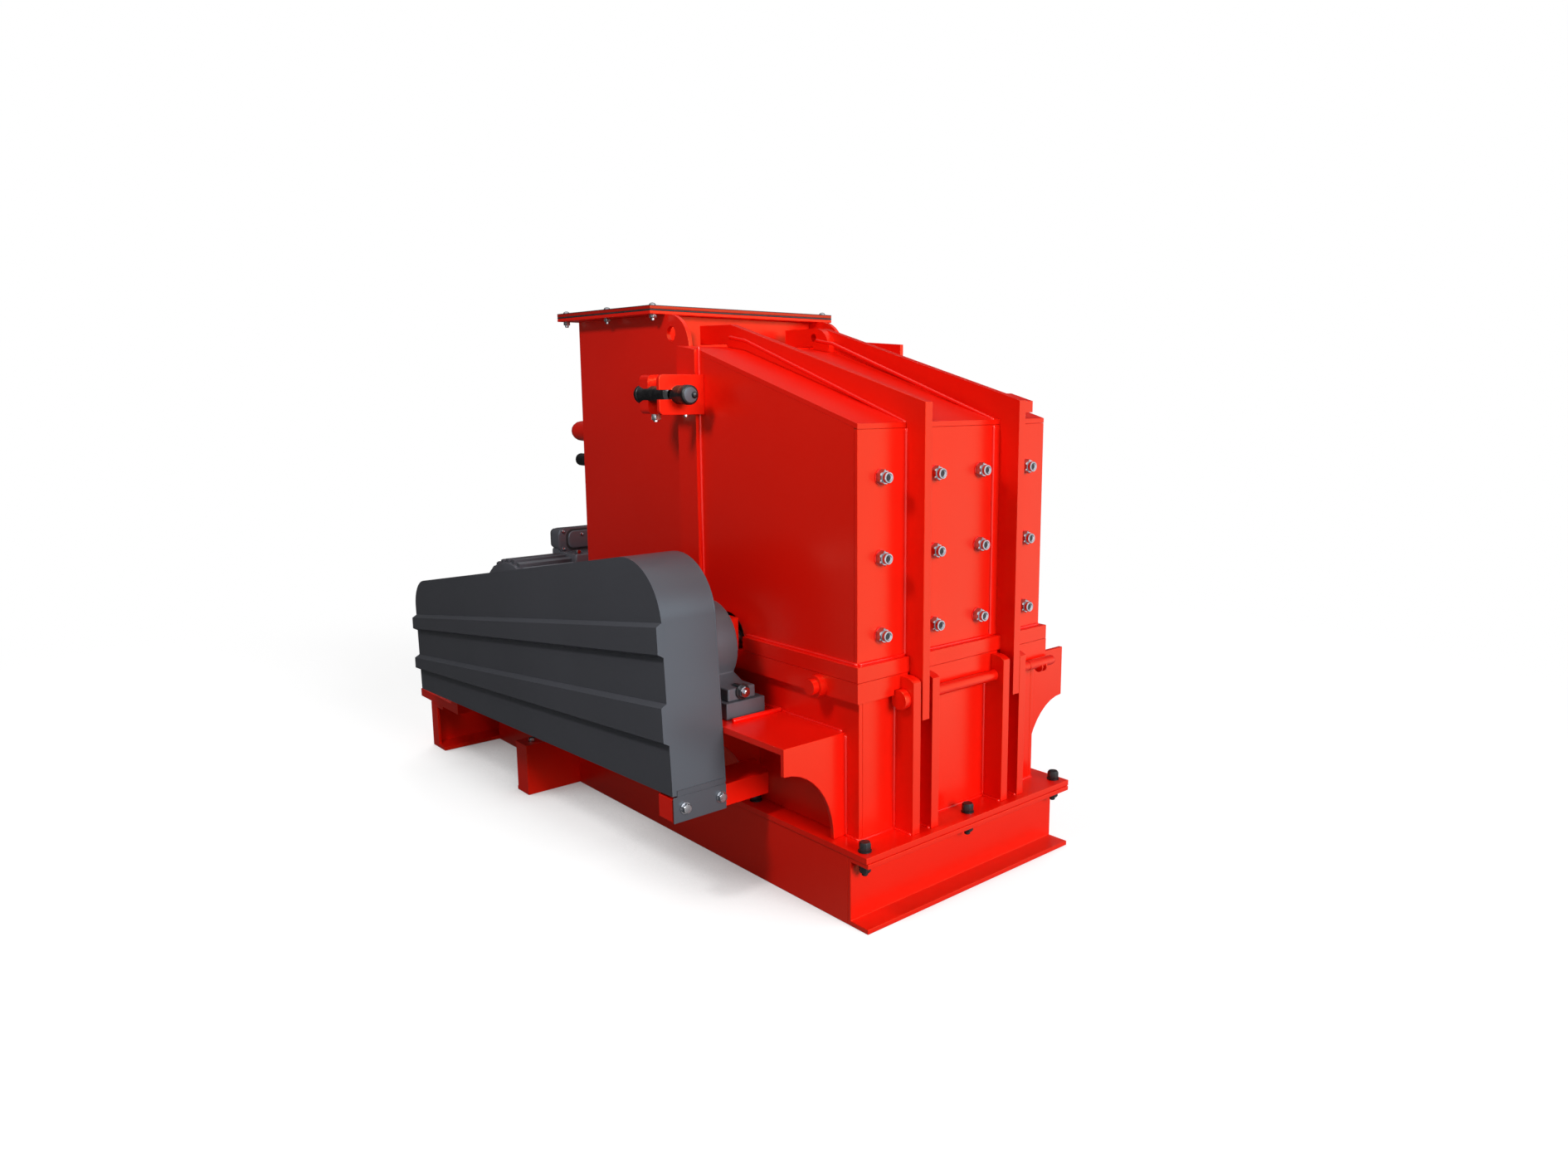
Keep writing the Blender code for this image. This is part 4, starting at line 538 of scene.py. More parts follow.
class CRUSHER_OT_plates(bpy.types.Operator):
    """Paints every node but the terminal box, which is rebuilt elsewhere, and rounds the edges of the plates
    """

    bl_idname = "crusher.plates"
    bl_label = "Paint and ease the plates"

    wide = 0.003

    def execute(self, context):
        paint = context.scene.crusher_paint
        make_finishes(paint)
        chosen = {node: (finish, share) for nodes, finish, share in PLATES for node in nodes}
        for node in sorted(set(NODES) - set(REBUILT)):
            finish, share = chosen.get(node, ("red", 1.0))
            width = paint.eased * share
            eased_copy(node, finish, width, 3 if width > self.wide else 2, self.second(node))
        return {"FINISHED"}

    @staticmethod
    def second(node):
        """The black screws and caps that are one with a red plate."""
        low, high = box(node)
        if node.startswith("clamp"):
            side = -1 if node.endswith("near") else 1
            return ("black", [at(0.0, side * CLAMP_Y, CLAMP_Z)], CLAMP_REACH, high[0] + 0.001)
        if node == "front_wall":
            caps = [at(0.0, side * CAP_Y, CAP_Z) for side in (-1, 1)]
            return ("black", caps, CAP_REACH, low[0] + CAP_LENGTH)
        return None


# Fasteners

def liner_nut_profile(across):
    """(radius, height) of a nut with a stud end that stands out of it and is hollowed at its tip."""
    corner, stud = across * 0.58, across * 0.415
    return (
        (corner * 0.88, 0.0), (corner, 0.0012), (corner, across * 0.42), (corner * 0.82, across * 0.50),
        (stud, across * 0.50), (stud, across * 0.80), (stud - 0.0010, across * 0.84),
        (stud - 0.0032, across * 0.84), (stud - 0.0042, across * 0.79), (stud * 0.40, across * 0.70),
        (TIP, across * 0.69),
    )


def hex_head(across, height):
    """(radius, height) of a hexagon head with a chamfered top and a washer face."""
    return (
        (across * 0.52, 0.0), (across * 0.60, height * 0.12), (across * 0.60, height * 0.80),
        (across * 0.47, height), (across * 0.30, height * 1.02), (TIP, height * 1.02),
    )


def round_washer(across, thickness):
    """(radius, height) of a flat washer under a head of that width across its flats."""
    return (
        (across * 0.60, 0.0), (across * 0.64, thickness * 0.3), (across * 0.64, thickness), (TIP, thickness),
    )


def nut_and_thread(across, height, thread):
    """(radius, height) of a nut with the end of its bolt standing out of it."""
    bolt, end = across * 0.30, height + thread
    return (
        (across * 0.52, 0.0), (across * 0.60, height * 0.12), (across * 0.60, height * 0.85),
        (across * 0.48, height), (bolt, height), (bolt, height + thread * 0.8), (bolt * 0.75, end),
        (TIP, end),
    )


class CRUSHER_OT_liner_nuts(bpy.types.Operator):
    """Sets the twelve nuts that hold the impact liner on the end face"""

    bl_idname = "crusher.liner_nuts"
    bl_label = "Liner nuts"

    columns = (-0.261, -0.081, 0.081, 0.261)
    rows = (1.054, 0.866, 0.683)
    washer_top = 0.0015

    def execute(self, context):
        across = context.scene.crusher_fasteners.liner_nut
        y, z = np.meshgrid(self.columns, self.rows)
        places = np.stack((np.full(y.size, END_HIGH[0]), y.ravel() + MIDDLE_Y, z.ravel()), axis=1)
        rim = across * 0.62
        washer = ((across * 0.56, 0.0), (rim, 0.0004), (rim, self.washer_top), (TIP, self.washer_top))
        Shapes().add(turned_grid(washer, "+x", 32), places).make("liner_washers", "bead", SWING)
        nut = turned_grid(liner_nut_profile(across), "+x", 36, across)
        Shapes().add(nut, places + (self.washer_top, 0.0, 0.0)).make("liner_nuts", "chrome", SWING, 24.0)
        # A black dish set in each stud tip's hollow is painted shade of the hollow.
        bore = across * 0.27
        painted_shade_dish = turned_grid(((bore, 0.0), (bore, 0.0006), (bore * 0.55, 0.0004), (TIP, -0.0004)), "+x", 20)
        Shapes().add(painted_shade_dish, places + (across * 0.775, 0.0, 0.0)).make("liner_stud_painted_shade", "black", SWING)
        return {"FINISHED"}


class CRUSHER_OT_base_bolts(bpy.types.Operator):
    """Sets the black bolts through the foot flange and the base channels"""

    bl_idname = "crusher.base_bolts"
    bl_label = "Base bolts"

    end_y = (-0.355, 0.003, 0.355)
    inset = 0.034
    first_side = 0.040
    last_side = 0.428
    side_count = 3
    channel = 0.012
    washer = 0.003
    thread = 0.009

    def execute(self, context):
        across = context.scene.crusher_fasteners.base_bolt
        end_x = FOOT_HIGH[0] - self.inset
        near_y, far_y = FOOT_LOW[1] + self.inset, FOOT_HIGH[1] - self.inset
        side = np.linspace(FOOT_LOW[0] + self.first_side, end_x - self.last_side, self.side_count)
        places = [(end_x, MIDDLE_Y + y, 0.0) for y in self.end_y]
        places += [(x, y, 0.0) for x in side for y in (near_y, far_y)]
        places = np.array(places)
        top = places + (0.0, 0.0, FOOT_HIGH[2])
        under = places + (0.0, 0.0, box("base_end_beam")[1][2] - self.channel)
        heads = Shapes().add(turned_grid(round_washer(across, self.washer), "+z", 24), top)
        heads.add(turned_grid(hex_head(across, across * 0.80), "+z", 24, across), top + (0, 0, self.washer))
        heads.add(turned_grid(round_washer(across, self.washer), "-z", 24), under)
        nut = turned_grid(nut_and_thread(across, across * 0.75, self.thread), "-z", 24, across)
        heads.add(nut, under - (0, 0, self.washer))
        heads.make("base_bolts", "black", FIXED, 28.0)
        return {"FINISHED"}


class CRUSHER_OT_inlet_bolts(bpy.types.Operator):
    """Sets the bolts round the feed mouth's flanges and the black seal along the upper one's edge"""

    bl_idname = "crusher.inlet_bolts"
    bl_label = "Inlet bolts"

    inset = 0.021
    thread = 0.007
    edge = 0.009
    sheet = ((0.0, -0.0004), (0.0, 0.0010), (0.0004, 0.0014))

    def execute(self, context):
        across = context.scene.crusher_fasteners.inlet_bolt
        low, high = box("inlet_counter_flange")
        under = box("inlet_flange")[0][2]
        xs = np.linspace(low[0] + self.inset, high[0] - self.inset, 3)
        places = [(x, y, 0.0) for x in xs for y in (low[1] + self.inset, high[1] - self.inset)]
        places = np.array(places)
        head = (
            (across * 0.52, 0.0), (across * 0.54, 0.0010), (across * 0.50, 0.0040), (across * 0.38, 0.0072),
            (across * 0.20, 0.0090), (TIP, 0.0095),
        )
        bolts = Shapes().add(turned_grid(head, "+z", 24), places + (0, 0, high[2]))
        nut = turned_grid(nut_and_thread(across, across * 0.55, self.thread), "-z", 24, across)
        bolts.add(nut, places + (0, 0, under))
        bolts.make("inlet_bolts", "zinc", FIXED, 28.0)
        middle, half = (low + high) / 2, (high - low) / 2
        along_x = block_grid(half[0], self.edge / 2, 0.001, self.sheet, "+z", 3)
        along_y = block_grid(self.edge / 2, half[1] - self.edge, 0.001, self.sheet, "+z", 3)
        seal = Shapes()
        for sign in (-1, 1):
            seal.add(along_x, (middle[0], middle[1] + sign * (half[1] - self.edge / 2), high[2]))
            seal.add(along_y, (middle[0] + sign * (half[0] - self.edge / 2), middle[1], high[2]))
        seal.make("inlet_edge_seal", "rubber", FIXED, 30.0)
        return {"FINISHED"}


class CRUSHER_OT_guard_bolts(bpy.types.Operator):
    """Sets the cover strip at the guard's foot and its two bolts"""

    bl_idname = "crusher.guard_bolts"
    bl_label = "Guard strip and bolts"

    places = ((-0.638, 0.2772), (-0.535, 0.2778))
    strip_y = (-0.670, -0.519)
    strip_z = (0.2445, 0.3080)
    strip = 0.0022
    washer = 0.002
    head = 0.010

    def execute(self, context):
        across = context.scene.crusher_fasteners.guard_bolt
        face_x = box("belt_guard")[1][0]
        (low_y, high_y), (low_z, high_z) = self.strip_y, self.strip_z
        foot, reach = at(0.0, low_y, low_z), at(0.0, high_y, high_z)
        half_y, half_z = (reach[1] - foot[1]) / 2, (reach[2] - foot[2]) / 2
        layers = ((0.0008, 0.0), (0.0, 0.0006), (0.0, self.strip - 0.0006), (0.0006, self.strip))
        middle = (face_x, (foot[1] + reach[1]) / 2, (foot[2] + reach[2]) / 2)
        strip = block_grid(half_y, half_z, 0.0015, layers, "+x", 3)
        Shapes().add(strip, middle).make("guard_strip", "grey", FIXED, 40.0)
        spots = np.array([at(0.0, y, z) for y, z in self.places])
        spots[:, 0] = face_x + self.strip
        bolts = Shapes().add(turned_grid(round_washer(across, self.washer), "+x", 24), spots)
        bolts.add(turned_grid(hex_head(across, self.head), "+x", 24, across), spots + (self.washer, 0.0, 0.0))
        bolts.make("guard_bolts", "zinc", FIXED, 28.0)
        return {"FINISHED"}


# Clamps, bearings and hinge trim

SIDES = ((-1, "near"), (1, "far"))


class CRUSHER_OT_clamp_trim(bpy.types.Operator):
    """Dresses the side clamps: the screw's cone, ring and cap, the nut that hangs below and the yoke"""

    bl_idname = "crusher.clamp_trim"
    bl_label = "Clamp trim"

    cone = (
        (0.0255, -0.2700), (0.0265, -0.2690), (0.0260, -0.2660), (0.0236, -0.2590), (0.0222, -0.2500),
        (0.0222, -0.1470), (0.0205, -0.1450),
    )
    ring = (
        (0.0200, -0.1455), (0.0234, -0.1440), (0.0238, -0.1400), (0.0238, -0.1330), (0.0215, -0.1262),
        (0.0190, -0.1260),
    )
    cap = (
        (0.0220, -0.0790), (0.0250, -0.0770), (0.0256, -0.0740), (0.0256, -0.0580), (0.0248, -0.0540),
        (0.0222, -0.0515), (0.0205, -0.0512), (TIP, -0.0512),
    )
    face = ((0.0196, -0.0514), (0.0196, -0.0508), (0.0185, -0.0505), (TIP, -0.0505))
    stub = ((0.0085, -0.0520), (0.0085, -0.0470), (0.0072, -0.0440), (0.0045, -0.0425), (TIP, -0.0422))
    stub_aside = 0.0105
    tip = ((0.0058, -0.001), (0.0062, 0.003), (0.0052, 0.0065), (0.0030, 0.0082), (TIP, 0.0086))
    tip_at = (-0.113, 0.389)
    nut = (0.0245, 0.017, 0.005)
    nut_at = (-0.249, 0.394)
    yoke = ((0.004, 0.0), (0.0, 0.004), (0.0, 0.074), (0.003, 0.0785))
    yoke_half = (0.0265, 0.044)
    yoke_corner = 0.021
    yoke_at = (-0.2285, 0.3775, 1.2400)

    def execute(self, context):
        cones, rings, caps, yokes, nuts, tips, faces = (Shapes() for _ in range(7))
        front_foot, rear_foot = box("clamp_front_near")[0][2], box("clamp_rear_near")[0][2]
        for sign, _ in SIDES:
            centre = at(0.0, sign * CLAMP_Y, CLAMP_Z)
            cones.add(turned_grid(self.cone, "+x", 32), centre)
            rings.add(turned_grid(self.ring, "+x", 32), centre)
            caps.add(turned_grid(self.cap, "+x", 32), centre)
            caps.add(turned_grid(self.stub, "+x", 16), centre + (0.0, -sign * self.stub_aside, 0.0))
            faces.add(turned_grid(self.face, "+x", 32), centre)
            nut = turned_grid(nut_and_thread(*self.nut), "-z", 24, self.nut[0])
            nuts.add(nut, at(self.nut_at[0], sign * self.nut_at[1], front_foot))
            tips.add(turned_grid(self.tip, "-z", 16), at(self.tip_at[0], sign * self.tip_at[1], rear_foot))
            x, y, z = self.yoke_at
            yokes.add(block_grid(*self.yoke_half, self.yoke_corner, self.yoke, "+x", 9), at(x, sign * y, z))
        cones.make("clamp_cones", "black", FIXED, 40.0)
        rings.make("clamp_rings", "bright", FIXED, 40.0)
        yokes.make("clamp_yokes", "red", FIXED, 40.0)
        nuts.make("clamp_nuts", "bright", FIXED, 28.0)
        caps.make("clamp_caps", "black", SWING, 40.0)
        faces.make("clamp_cap_faces", "cast", SWING, 40.0)
        tips.make("clamp_tips", "bright", SWING, 40.0)
        return {"FINISHED"}


class CRUSHER_OT_bearing_trim(bpy.types.Operator):
    """Sets the bearings' stop bolts, the round bar on the near console and the pin's tail with its clips"""

    bl_idname = "crusher.bearing_trim"
    bl_label = "Bearing and hinge trim"

    washer = (
        (0.0150, -0.030), (0.0150, 0.0), (0.0192, 0.0006), (0.0200, 0.002), (0.0200, 0.005), (TIP, 0.0052),
    )
    washer_top = 0.005
    nut = (0.026, 0.012, 0.006)
    bolt_rise = 0.0215
    bar_r = 0.0062
    bar_x = 0.193
    bar_y = (-0.480, -0.332)
    pin_r = 0.0130
    pin_end = 0.360
    clip_y = (0.300, 0.318)
    clip_drop = 0.0105

    def execute(self, context):
        washers, nuts = Shapes(), Shapes()
        across = self.nut[0]
        for _, side in SIDES:
            low, high = box(f"bearing_{side}")
            for end, axis, out in ((high[0], "+x", 1.0), (low[0], "-x", -1.0)):
                place = np.array((end, (low[1] + high[1]) / 2, low[2] + self.bolt_rise))
                washers.add(turned_grid(self.washer, axis, 24), place)
                nut = turned_grid(nut_and_thread(*self.nut), axis, 24, across)
                nuts.add(nut, place + (out * self.washer_top, 0.0, 0.0))
        washers.make("bearing_washers", "black", FIXED, 40.0)
        nuts.make("bearing_nuts", "chrome", FIXED, 28.0)
        self.console_bar()
        self.pin_tail()
        return {"FINISHED"}

    def console_bar(self):
        start, stop = (at(self.bar_x, y, 0.0) for y in self.bar_y)
        reach = stop[1] - start[1]
        bar = ((self.bar_r * 0.5, 0.0), (self.bar_r * 0.9, 0.001), (self.bar_r, 0.004), (self.bar_r, reach))
        table = box("console_near")[1][2]
        place = (start[0], start[1], table + self.bar_r * 0.8)
        Shapes().add(turned_grid(bar, "+y", 16), place).make("console_bar", "bead", FIXED, 40.0)

    def pin_tail(self):
        middle = ((PIN_LOW[0] + PIN_HIGH[0]) / 2, 0.0, (PIN_LOW[2] + PIN_HIGH[2]) / 2)
        radius, stop = self.pin_r, at(0.0, self.pin_end, 0.0)[1]
        tail = (
            (radius, PIN_HIGH[1] - 0.004), (radius, stop - 0.006), (radius * 0.93, stop - 0.002),
            (radius * 0.75, stop), (TIP, stop),
        )
        trim = Shapes().add(turned_grid(tail, "+y", 24), middle)
        bay = (box("hinge_clevis_2")[1][1] - 0.001, box("hinge_clevis_3")[0][1] + 0.001)
        trim.add(turned_grid(tuple((radius + 0.0012, y) for y in bay), "+y", 24), middle)
        ring_r = radius + 0.0015
        clip = ((ring_r - 0.001, 0.0), (ring_r, 0.0008), (ring_r, 0.0042), (ring_r - 0.001, 0.005))
        for y in self.clip_y:
            place = (middle[0], at(0.0, y, 0.0)[1], middle[2] - self.clip_drop)
            trim.add(turned_grid(clip, "+y", 24), place)
        trim.make("hinge_pin_tail", "red", FIXED, 40.0)


class CRUSHER_OT_beam_ends(bpy.types.Operator):
    """Closes the near ends of the two cross beams with plates and sets a bolt in the middle one"""

    bl_idname = "crusher.beam_ends"
    bl_label = "Beam ends"

    ends = (("middle_cross_beam", 1.0), ("motor_cross_beam", 0.52))
    lip_x = 0.003
    lip_z = 0.006
    sunk = 0.0004
    plate = ((0.001, 0.0), (0.0, 0.001), (0.0, 0.009), (0.001, 0.010))
    bolt = (0.019, 0.012)
    bolt_from_end = 0.034
    bolt_aside = 0.006

    def execute(self, context):
        plates = Shapes()
        for node, share in self.ends:
            low, high = box(node)
            half_x = (high[0] - low[0]) / 2 * share - self.lip_x
            half_z = (high[2] - low[2]) / 2 - self.lip_z
            plates.add(
                block_grid(half_z, half_x, 0.003, self.plate, "+y", 3),
                (low[0] + self.lip_x + half_x, low[1] + self.sunk, (low[2] + high[2]) / 2),
            )
        plates.make("beam_end_plates", "red", FIXED, 40.0)
        low, high = box("middle_cross_beam")
        place = ((low[0] + high[0]) / 2 + self.bolt_aside, low[1] + self.bolt_from_end, high[2])
        head = turned_grid(hex_head(*self.bolt), "+z", 24, self.bolt[0])
        Shapes().add(head, place).make("middle_beam_bolt", "zinc", FIXED, 28.0)
        return {"FINISHED"}


class CRUSHER_OT_motor_trim(bpy.types.Operator):
    """Builds the motor's terminal box with its lid, seal and screws, and the block before it"""

    bl_idname = "crusher.motor_trim"
    bl_label = "Terminal box"

    depth = 0.086
    shell = (
        (0.016, 0.0), (0.009, 0.006), (0.004, 0.030), (0.004, 0.066), (0.0, 0.070), (0.0, 0.082),
        (0.005, 0.086),
    )
    lid = ((0.0, -0.004), (0.0, 0.0035), (0.0015, 0.0055), (0.006, 0.007))
    lid_inset = (0.034, 0.012)
    seal = ((0.0, -0.004), (0.0, 0.0012), (0.001, 0.0018))
    seal_inset = (0.027, 0.006)
    block = ((0.004, -0.070), (0.0, -0.064), (0.0, -0.006), (0.0015, -0.0015), (0.006, 0.0))
    block_rise = 0.004
    block_sunk = 0.010
    neck = ((0.004, -0.060), (0.0, -0.052), (0.0, 0.004), (0.003, 0.010))
    neck_half = (0.028, 0.012)
    neck_at = (0.042, 0.020)
    screw = ((0.0058, -0.003), (0.0060, 0.002), (0.0048, 0.0044), (0.0024, 0.0056), (TIP, 0.0058))
    screw_inset = (0.016, 0.012)
    bolt = (0.021, 0.013)
    bolt_inset = 0.026

    def execute(self, context):
        low, high = box("motor_terminal_box")
        half_y, half_z = (high[1] - low[1]) / 2, (high[2] - low[2]) / 2
        back = np.array((low[0], (low[1] + high[1]) / 2, (low[2] + high[2]) / 2))
        front = back + (self.depth, 0.0, 0.0)
        parts = Shapes().add(block_grid(half_y, half_z, 0.024, self.shell, "+x", 9), back)
        y, z = self.lid_inset
        parts.add(block_grid(half_y - y, half_z - z, 0.022, self.lid, "+x", 9), front)
        reach = (high[0] - front[0]) / 2
        parts.add(
            block_grid(reach + self.block_sunk, half_y - 0.003, 0.010, self.block, "+z", 5),
            (front[0] + reach - self.block_sunk, back[1], low[2] + self.block_rise),
        )
        x, y = self.neck_at
        neck = block_grid(*self.neck_half, 0.006, self.neck, "+z", 5)
        parts.add(neck, [(low[0] + x, back[1] + sign * (half_y - y), low[2]) for sign in (-1, 1)])
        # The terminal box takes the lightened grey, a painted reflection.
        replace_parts(parts.make("terminal_box", "box", FIXED, 40.0), "motor_terminal_box")
        y, z = self.seal_inset
        seal = block_grid(half_y - y, half_z - z, 0.026, self.seal, "+x", 9)
        Shapes().add(seal, front).make("terminal_box_seal", "rubber", FIXED, 40.0)
        y, z = self.screw_inset
        spots = [front + (0.0, a * (half_y - y), b * (half_z - z)) for a in (-1, 1) for b in (-1, 1)]
        spots.append(front + (0.0065, -half_y * 0.30, half_z * 0.40))
        screws = Shapes().add(turned_grid(self.screw, "+x", 16), spots)
        bolt_x, bolt_y = high[0] - self.bolt_inset, half_y - self.bolt_inset
        spots = [(bolt_x, back[1] + sign * bolt_y, low[2] + self.block_rise) for sign in (-1, 1)]
        screws.add(turned_grid(hex_head(*self.bolt), "+z", 24, self.bolt[0]), spots)
        screws.make("terminal_box_screws", "chrome", FIXED, 30.0)
        return {"FINISHED"}


# Welds

ROOF_BREAK = 0.085


def line(*points):
    return np.array(points, float)


def rear_housing_welds():
    """Paths beside the ribs, between them at the foot, and along the side plates."""
    ribs = [box(f"rib_{side}") for side in ("near", "far")]
    rib_faces = [face for low, high in ribs for face in (low[1], high[1])]
    end_x, end_low, end_top = END_HIGH[0], END_LOW[2], END_HIGH[2]
    roof_low, roof_high = box("rear_roof")
    break_x = box("rear_side_near")[0][0] + ROOF_BREAK
    down = [line((end_x, y, end_low), (end_x, y, end_top)) for y in rib_faces]
    along = [
        line(
            (end_x, y, end_top + 0.012), (break_x, y, roof_high[2] - 0.012),
            (roof_low[0] + 0.01, y, roof_high[2]),
        )
        for y in rib_faces
    ]
    bays = (
        (END_LOW[1] + 0.004, ribs[0][0][1]),
        (ribs[0][1][1], ribs[1][0][1]),
        (ribs[1][1][1], END_HIGH[1] - 0.004),
    )
    low_z = end_low + 0.001
    foot = [line((end_x, a, low_z), (end_x, b, low_z)) for a, b in bays]
    side_y = (END_LOW[1], END_HIGH[1])
    flange_x = box("rear_flange")[0][0]
    skirt = [line((flange_x, y, low_z), (end_x, y, low_z)) for y in side_y]
    seam_x = break_x + 0.001
    seam = [line((seam_x, y, end_low - 0.03), (seam_x, y, roof_high[2] - 0.03)) for y in side_y]
    return down + along + foot + skirt + seam


def lower_housing_welds():
    """Paths at the clevis plates, the consoles and the foot of the end wall."""
    wall_x = box("lower_wall_end")[1][0]
    near_y, far_y = box("lower_wall_near")[0][1], box("lower_wall_far")[1][1]
    floor, post_top = FOOT_HIGH[2], RIM_LOW[2] - 0.01
    clevises = [box(f"hinge_clevis_{number}") for number in range(1, 5)]
    faces = [y for low, high in clevises for y in (low[1], high[1])]
    tip_x = clevises[0][1][0] - 0.004
    posts = [line((wall_x, y, floor), (wall_x, y, post_top)) for y in faces]
    feet = [line((wall_x, y, floor), (tip_x, y, floor)) for y in faces]
    walls = []
    tops = {"near": box("console_near")[1][2], "far": box("bearing_far")[0][2]}
    for side, y in (("near", near_y), ("far", far_y)):
        low, high = box(f"console_{side}")
        top = tops[side]
        walls.append(line((low[0], y, top), (high[0] - 0.012, y, top)))
        walls.append(line((high[0], y, floor), (high[0], y, high[2] - 0.006)))
        walls.append(line((low[0], y, floor), (low[0], y, top - 0.02)))
        walls.append(line((high[0], y, floor), (wall_x, y, floor)))
    edges = [near_y, *faces, far_y]
    cross = [line((wall_x, a, floor), (wall_x, b, floor)) for a, b in zip(edges[::2], edges[1::2])]
    return posts + feet + walls + cross


class CRUSHER_OT_welds(bpy.types.Operator):
    """Lays the painted weld beads along the corners of the housings"""

    bl_idname = "crusher.welds"
    bl_label = "Weld beads"

    def execute(self, context):
        weld = context.scene.crusher_welds
        for name, body, paths in (
            ("rear_housing_welds", SWING, rear_housing_welds()),
            ("lower_housing_welds", FIXED, lower_housing_welds()),
        ):
            shapes = Shapes()
            for path in paths:
                shapes.add(bead_grid(path, weld.radius, weld.ripple, weld.pitch))
            shapes.make(name, "bead", body, 80.0)
        return {"FINISHED"}


# Stage

KEY_FROM = (3.0, 0.12, 1.0)
KEY_ANGLE = math.radians(26.0)
BACK_FROM = (-2.0, 1.7, 0.9)
BACK_ANGLE = math.radians(35.0)
SIDE_PLACE = (0.95, -2.08, 2.70)
SIDE_TARGET = (0.5, -0.25, 0.9)
SIDE_SIZE = 0.45
GLOSS_DARK = 0.05
GLOSS_BRIGHT = 1.6
GLOSS_OVERHEAD = 1.1
FLOOR_GLOW = 0.72
FLOOR_LIT = (0.45, 0.45, 0.45)
FLOOR_BOUNCE = (0.30, 0.30, 0.30)
FLOOR_REACH = 60.0
# Reach of the painted shadow that ambient occlusion lays on the floor near the machine.
PAINTED_SHADOW_REACH = 0.55


def floor_material():
    """White floor: near the machine it takes the lamps' shadows and a painted shadow, a white glow dimmed by
    ambient occlusion; it turns pure white away from the machine, and in reflections runs from dark on the -X
    side to white on the +X side."""
    material = bpy.data.materials.new("studio_floor")
    material.use_nodes = True
    tree = material.node_tree
    tree.nodes.clear()
    place = tree.nodes.new("ShaderNodeTexCoord").outputs["Object"]
    light = tree.nodes.new("ShaderNodeLightPath").outputs

    def shader(kind, **values):
        node = tree.nodes.new(kind)
        for name, value in values.items():
            node.inputs[name].default_value = value
        return node.outputs[0]

    def mixed(factor, first, second, kind="ShaderNodeMixShader"):
        node = tree.nodes.new(kind)
        if factor is not None:
            tree.links.new(factor, node.inputs[0])
        tree.links.new(first, node.inputs[-2])
        tree.links.new(second, node.inputs[-1])
        return node.outputs[0]

    length = tree.nodes.new("ShaderNodeVectorMath")
    length.operation = "LENGTH"
    tree.links.new(place, length.inputs[0])
    far = spread(tree, length.outputs["Value"], 0.0, 1.0, 1.8, 4.0)
    lit = shader("ShaderNodeBsdfDiffuse", Color=(*FLOOR_LIT, 1.0))
    # Painted shadow: the floor's glow is dimmed by ambient occlusion within this reach of the machine.
    painted_shadow_occlusion = tree.nodes.new("ShaderNodeAmbientOcclusion")
    painted_shadow_occlusion.samples = 16
    painted_shadow_occlusion.inputs["Distance"].default_value = PAINTED_SHADOW_REACH
    painted_shadow_glow = tree.nodes.new("ShaderNodeEmission")
    level = spread(tree, painted_shadow_occlusion.outputs["AO"], 0.10, FLOOR_GLOW, 0.02, 0.66)
    tree.links.new(level, painted_shadow_glow.inputs["Strength"])
    shaded = mixed(None, lit, painted_shadow_glow.outputs[0], "ShaderNodeAddShader")
    seen = mixed(far, shaded, shader("ShaderNodeEmission", Strength=1.0))
    split = tree.nodes.new("ShaderNodeSeparateXYZ")
    tree.links.new(place, split.inputs[0])
    mirrored = tree.nodes.new("ShaderNodeEmission")
    brightness = spread(tree, split.outputs["X"], GLOSS_DARK, GLOSS_BRIGHT, 0.6, 2.6)
    tree.links.new(brightness, mirrored.inputs["Strength"])
    bounce = shader("ShaderNodeBsdfDiffuse", Color=(*FLOOR_BOUNCE, 1.0))
    other = mixed(light["Is Glossy Ray"], bounce, mirrored.outputs[0])
    through = tree.nodes.new("ShaderNodeMath")
    through.operation = "MAXIMUM"
    tree.links.new(light["Is Camera Ray"], through.inputs[0])
    tree.links.new(light["Is Transmission Ray"], through.inputs[1])
    output = tree.nodes.new("ShaderNodeOutputMaterial")
    tree.links.new(mixed(through.outputs[0], other, seen), output.inputs["Surface"])
    return material


def sky(level):
    """White world: level for light, full white for the camera, for gloss soft boxes overhead and at +X."""
    world = bpy.data.worlds.new("studio_sky")
    world.use_nodes = True
    bpy.context.scene.world = world
    tree = world.node_tree
    background = tree.nodes["Background"]
    background.inputs["Color"].default_value = (1.0, 1.0, 1.0, 1.0)
    light = tree.nodes.new("ShaderNodeLightPath")
    way = tree.nodes.new("ShaderNodeTexCoord").outputs["Generated"]
    split = tree.nodes.new("ShaderNodeSeparateXYZ")
    tree.links.new(way, split.inputs[0])
    side_box = spread(tree, split.outputs["X"], GLOSS_DARK, GLOSS_BRIGHT, -0.1, 0.75)
    top_box = spread(tree, split.outputs["Z"], GLOSS_DARK, GLOSS_OVERHEAD, 0.45, 0.95)
    larger = tree.nodes.new("ShaderNodeMath")
    larger.operation = "MAXIMUM"
    tree.links.new(side_box, larger.inputs[0])
    tree.links.new(top_box, larger.inputs[1])
    glossy = blended(tree, light.outputs["Is Glossy Ray"], level, larger.outputs[0])
    tree.links.new(blended(tree, light.outputs["Is Camera Ray"], glossy, 1.0), background.inputs["Strength"])


def lamp(name, kind, energy, place, target):
    """A lamp at a place, turned to its target."""
    data = bpy.data.lights.new(name, kind)
    data.energy = energy
    light = bpy.data.objects.new(name, data)
    bpy.context.scene.collection.objects.link(light)
    light.location = place
    light.rotation_euler = (Vector(target) - Vector(place)).to_track_quat("-Z", "Y").to_euler()
    return light


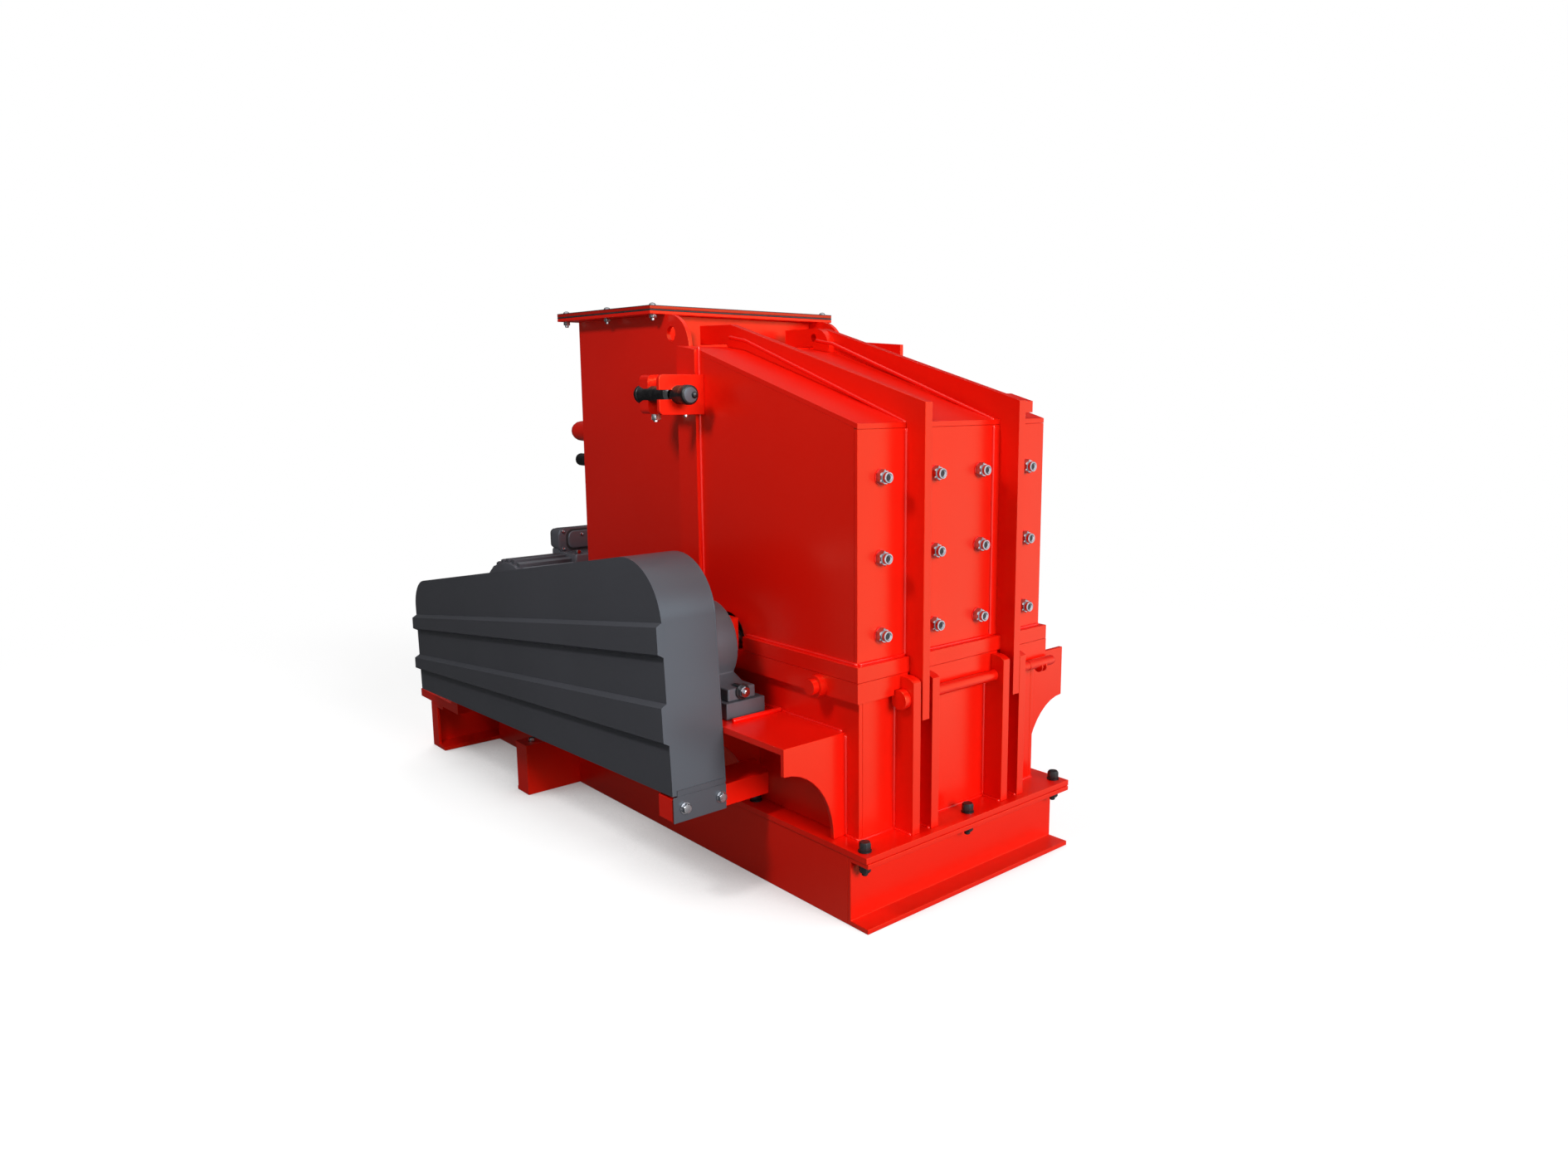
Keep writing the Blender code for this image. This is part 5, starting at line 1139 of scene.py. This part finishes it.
class CRUSHER_OT_stage(bpy.types.Operator):
    """Sets the camera, the white floor, the sky and the lamps"""

    bl_idname = "crusher.stage"
    bl_label = "Stage"

    def execute(self, context):
        settings = context.scene.crusher_stage
        scene = context.scene
        scene.view_settings.view_transform = "Standard"
        camera_data = bpy.data.cameras.new("photo_camera")
        camera_data.lens = CAMERA_LENS
        camera_data.sensor_width = 36.0
        camera_data.sensor_fit = "HORIZONTAL"
        camera_data.shift_x, camera_data.shift_y = CAMERA_SHIFT
        camera_data.clip_end = 200.0
        camera = bpy.data.objects.new("photo_camera", camera_data)
        scene.collection.objects.link(camera)
        forward = Vector(CAMERA_FORWARD).normalized()
        right = Vector(CAMERA_RIGHT).normalized()
        up = right.cross(forward)
        turn = Matrix((right, up, -forward)).transposed().to_4x4()
        camera.matrix_world = Matrix.Translation(CAMERA_PLACE) @ turn
        scene.camera = camera

        sky(settings.fill)
        reach = FLOOR_REACH
        mesh = bpy.data.meshes.new("studio_floor")
        corners = ((-reach, -reach, 0.0), (reach, -reach, 0.0), (reach, reach, 0.0), (-reach, reach, 0.0))
        mesh.from_pydata(corners, [], [(0, 1, 2, 3)])
        mesh.materials.append(floor_material())
        floor = bpy.data.objects.new("studio_floor", mesh)
        scene.collection.objects.link(floor)

        key = lamp("key_lamp", "SUN", settings.key, KEY_FROM, (0.0, 0.0, 0.0))
        key.data.angle = KEY_ANGLE
        back = lamp("back_lamp", "SUN", settings.back, BACK_FROM, (0.0, 0.0, 0.0))
        back.data.angle = BACK_ANGLE
        back.visible_glossy = False
        side = lamp("side_lamp", "AREA", settings.side, SIDE_PLACE, SIDE_TARGET)
        side.data.shape = "DISK"
        side.data.size = SIDE_SIZE
        return {"FINISHED"}


class CRUSHER_PT_panel(bpy.types.Panel):
    """Lists the steps that dress the crusher"""

    bl_label = "Hammer crusher"
    bl_idname = "CRUSHER_PT_panel"
    bl_space_type = "VIEW_3D"
    bl_region_type = "UI"
    bl_category = "Crusher"

    def draw(self, context):
        for group, _ in GROUPS:
            settings = getattr(context.scene, group)
            for name in settings.__annotations__:
                self.layout.prop(settings, name)
        for step in STEPS:
            self.layout.operator(step.bl_idname)


GROUPS = (
    ("crusher_paint", PaintSettings),
    ("crusher_fasteners", FastenerSettings),
    ("crusher_welds", WeldSettings),
    ("crusher_stage", StageSettings),
)
STEPS = (
    CRUSHER_OT_stage,
    CRUSHER_OT_plates,
    CRUSHER_OT_liner_nuts,
    CRUSHER_OT_base_bolts,
    CRUSHER_OT_inlet_bolts,
    CRUSHER_OT_guard_bolts,
    CRUSHER_OT_clamp_trim,
    CRUSHER_OT_bearing_trim,
    CRUSHER_OT_beam_ends,
    CRUSHER_OT_motor_trim,
    CRUSHER_OT_welds,
)


def register():
    for name, group in GROUPS:
        bpy.utils.register_class(group)
        setattr(bpy.types.Scene, name, bpy.props.PointerProperty(type=group))
    for step in STEPS:
        bpy.utils.register_class(step)
    bpy.utils.register_class(CRUSHER_PT_panel)


def unregister():
    bpy.utils.unregister_class(CRUSHER_PT_panel)
    for step in reversed(STEPS):
        bpy.utils.unregister_class(step)
    for name, group in reversed(GROUPS):
        delattr(bpy.types.Scene, name)
        bpy.utils.unregister_class(group)


def main():
    register()
    for step in STEPS:
        group, name = step.bl_idname.split(".")
        getattr(getattr(bpy.ops, group), name)()


if __name__ == "__main__":
    main()
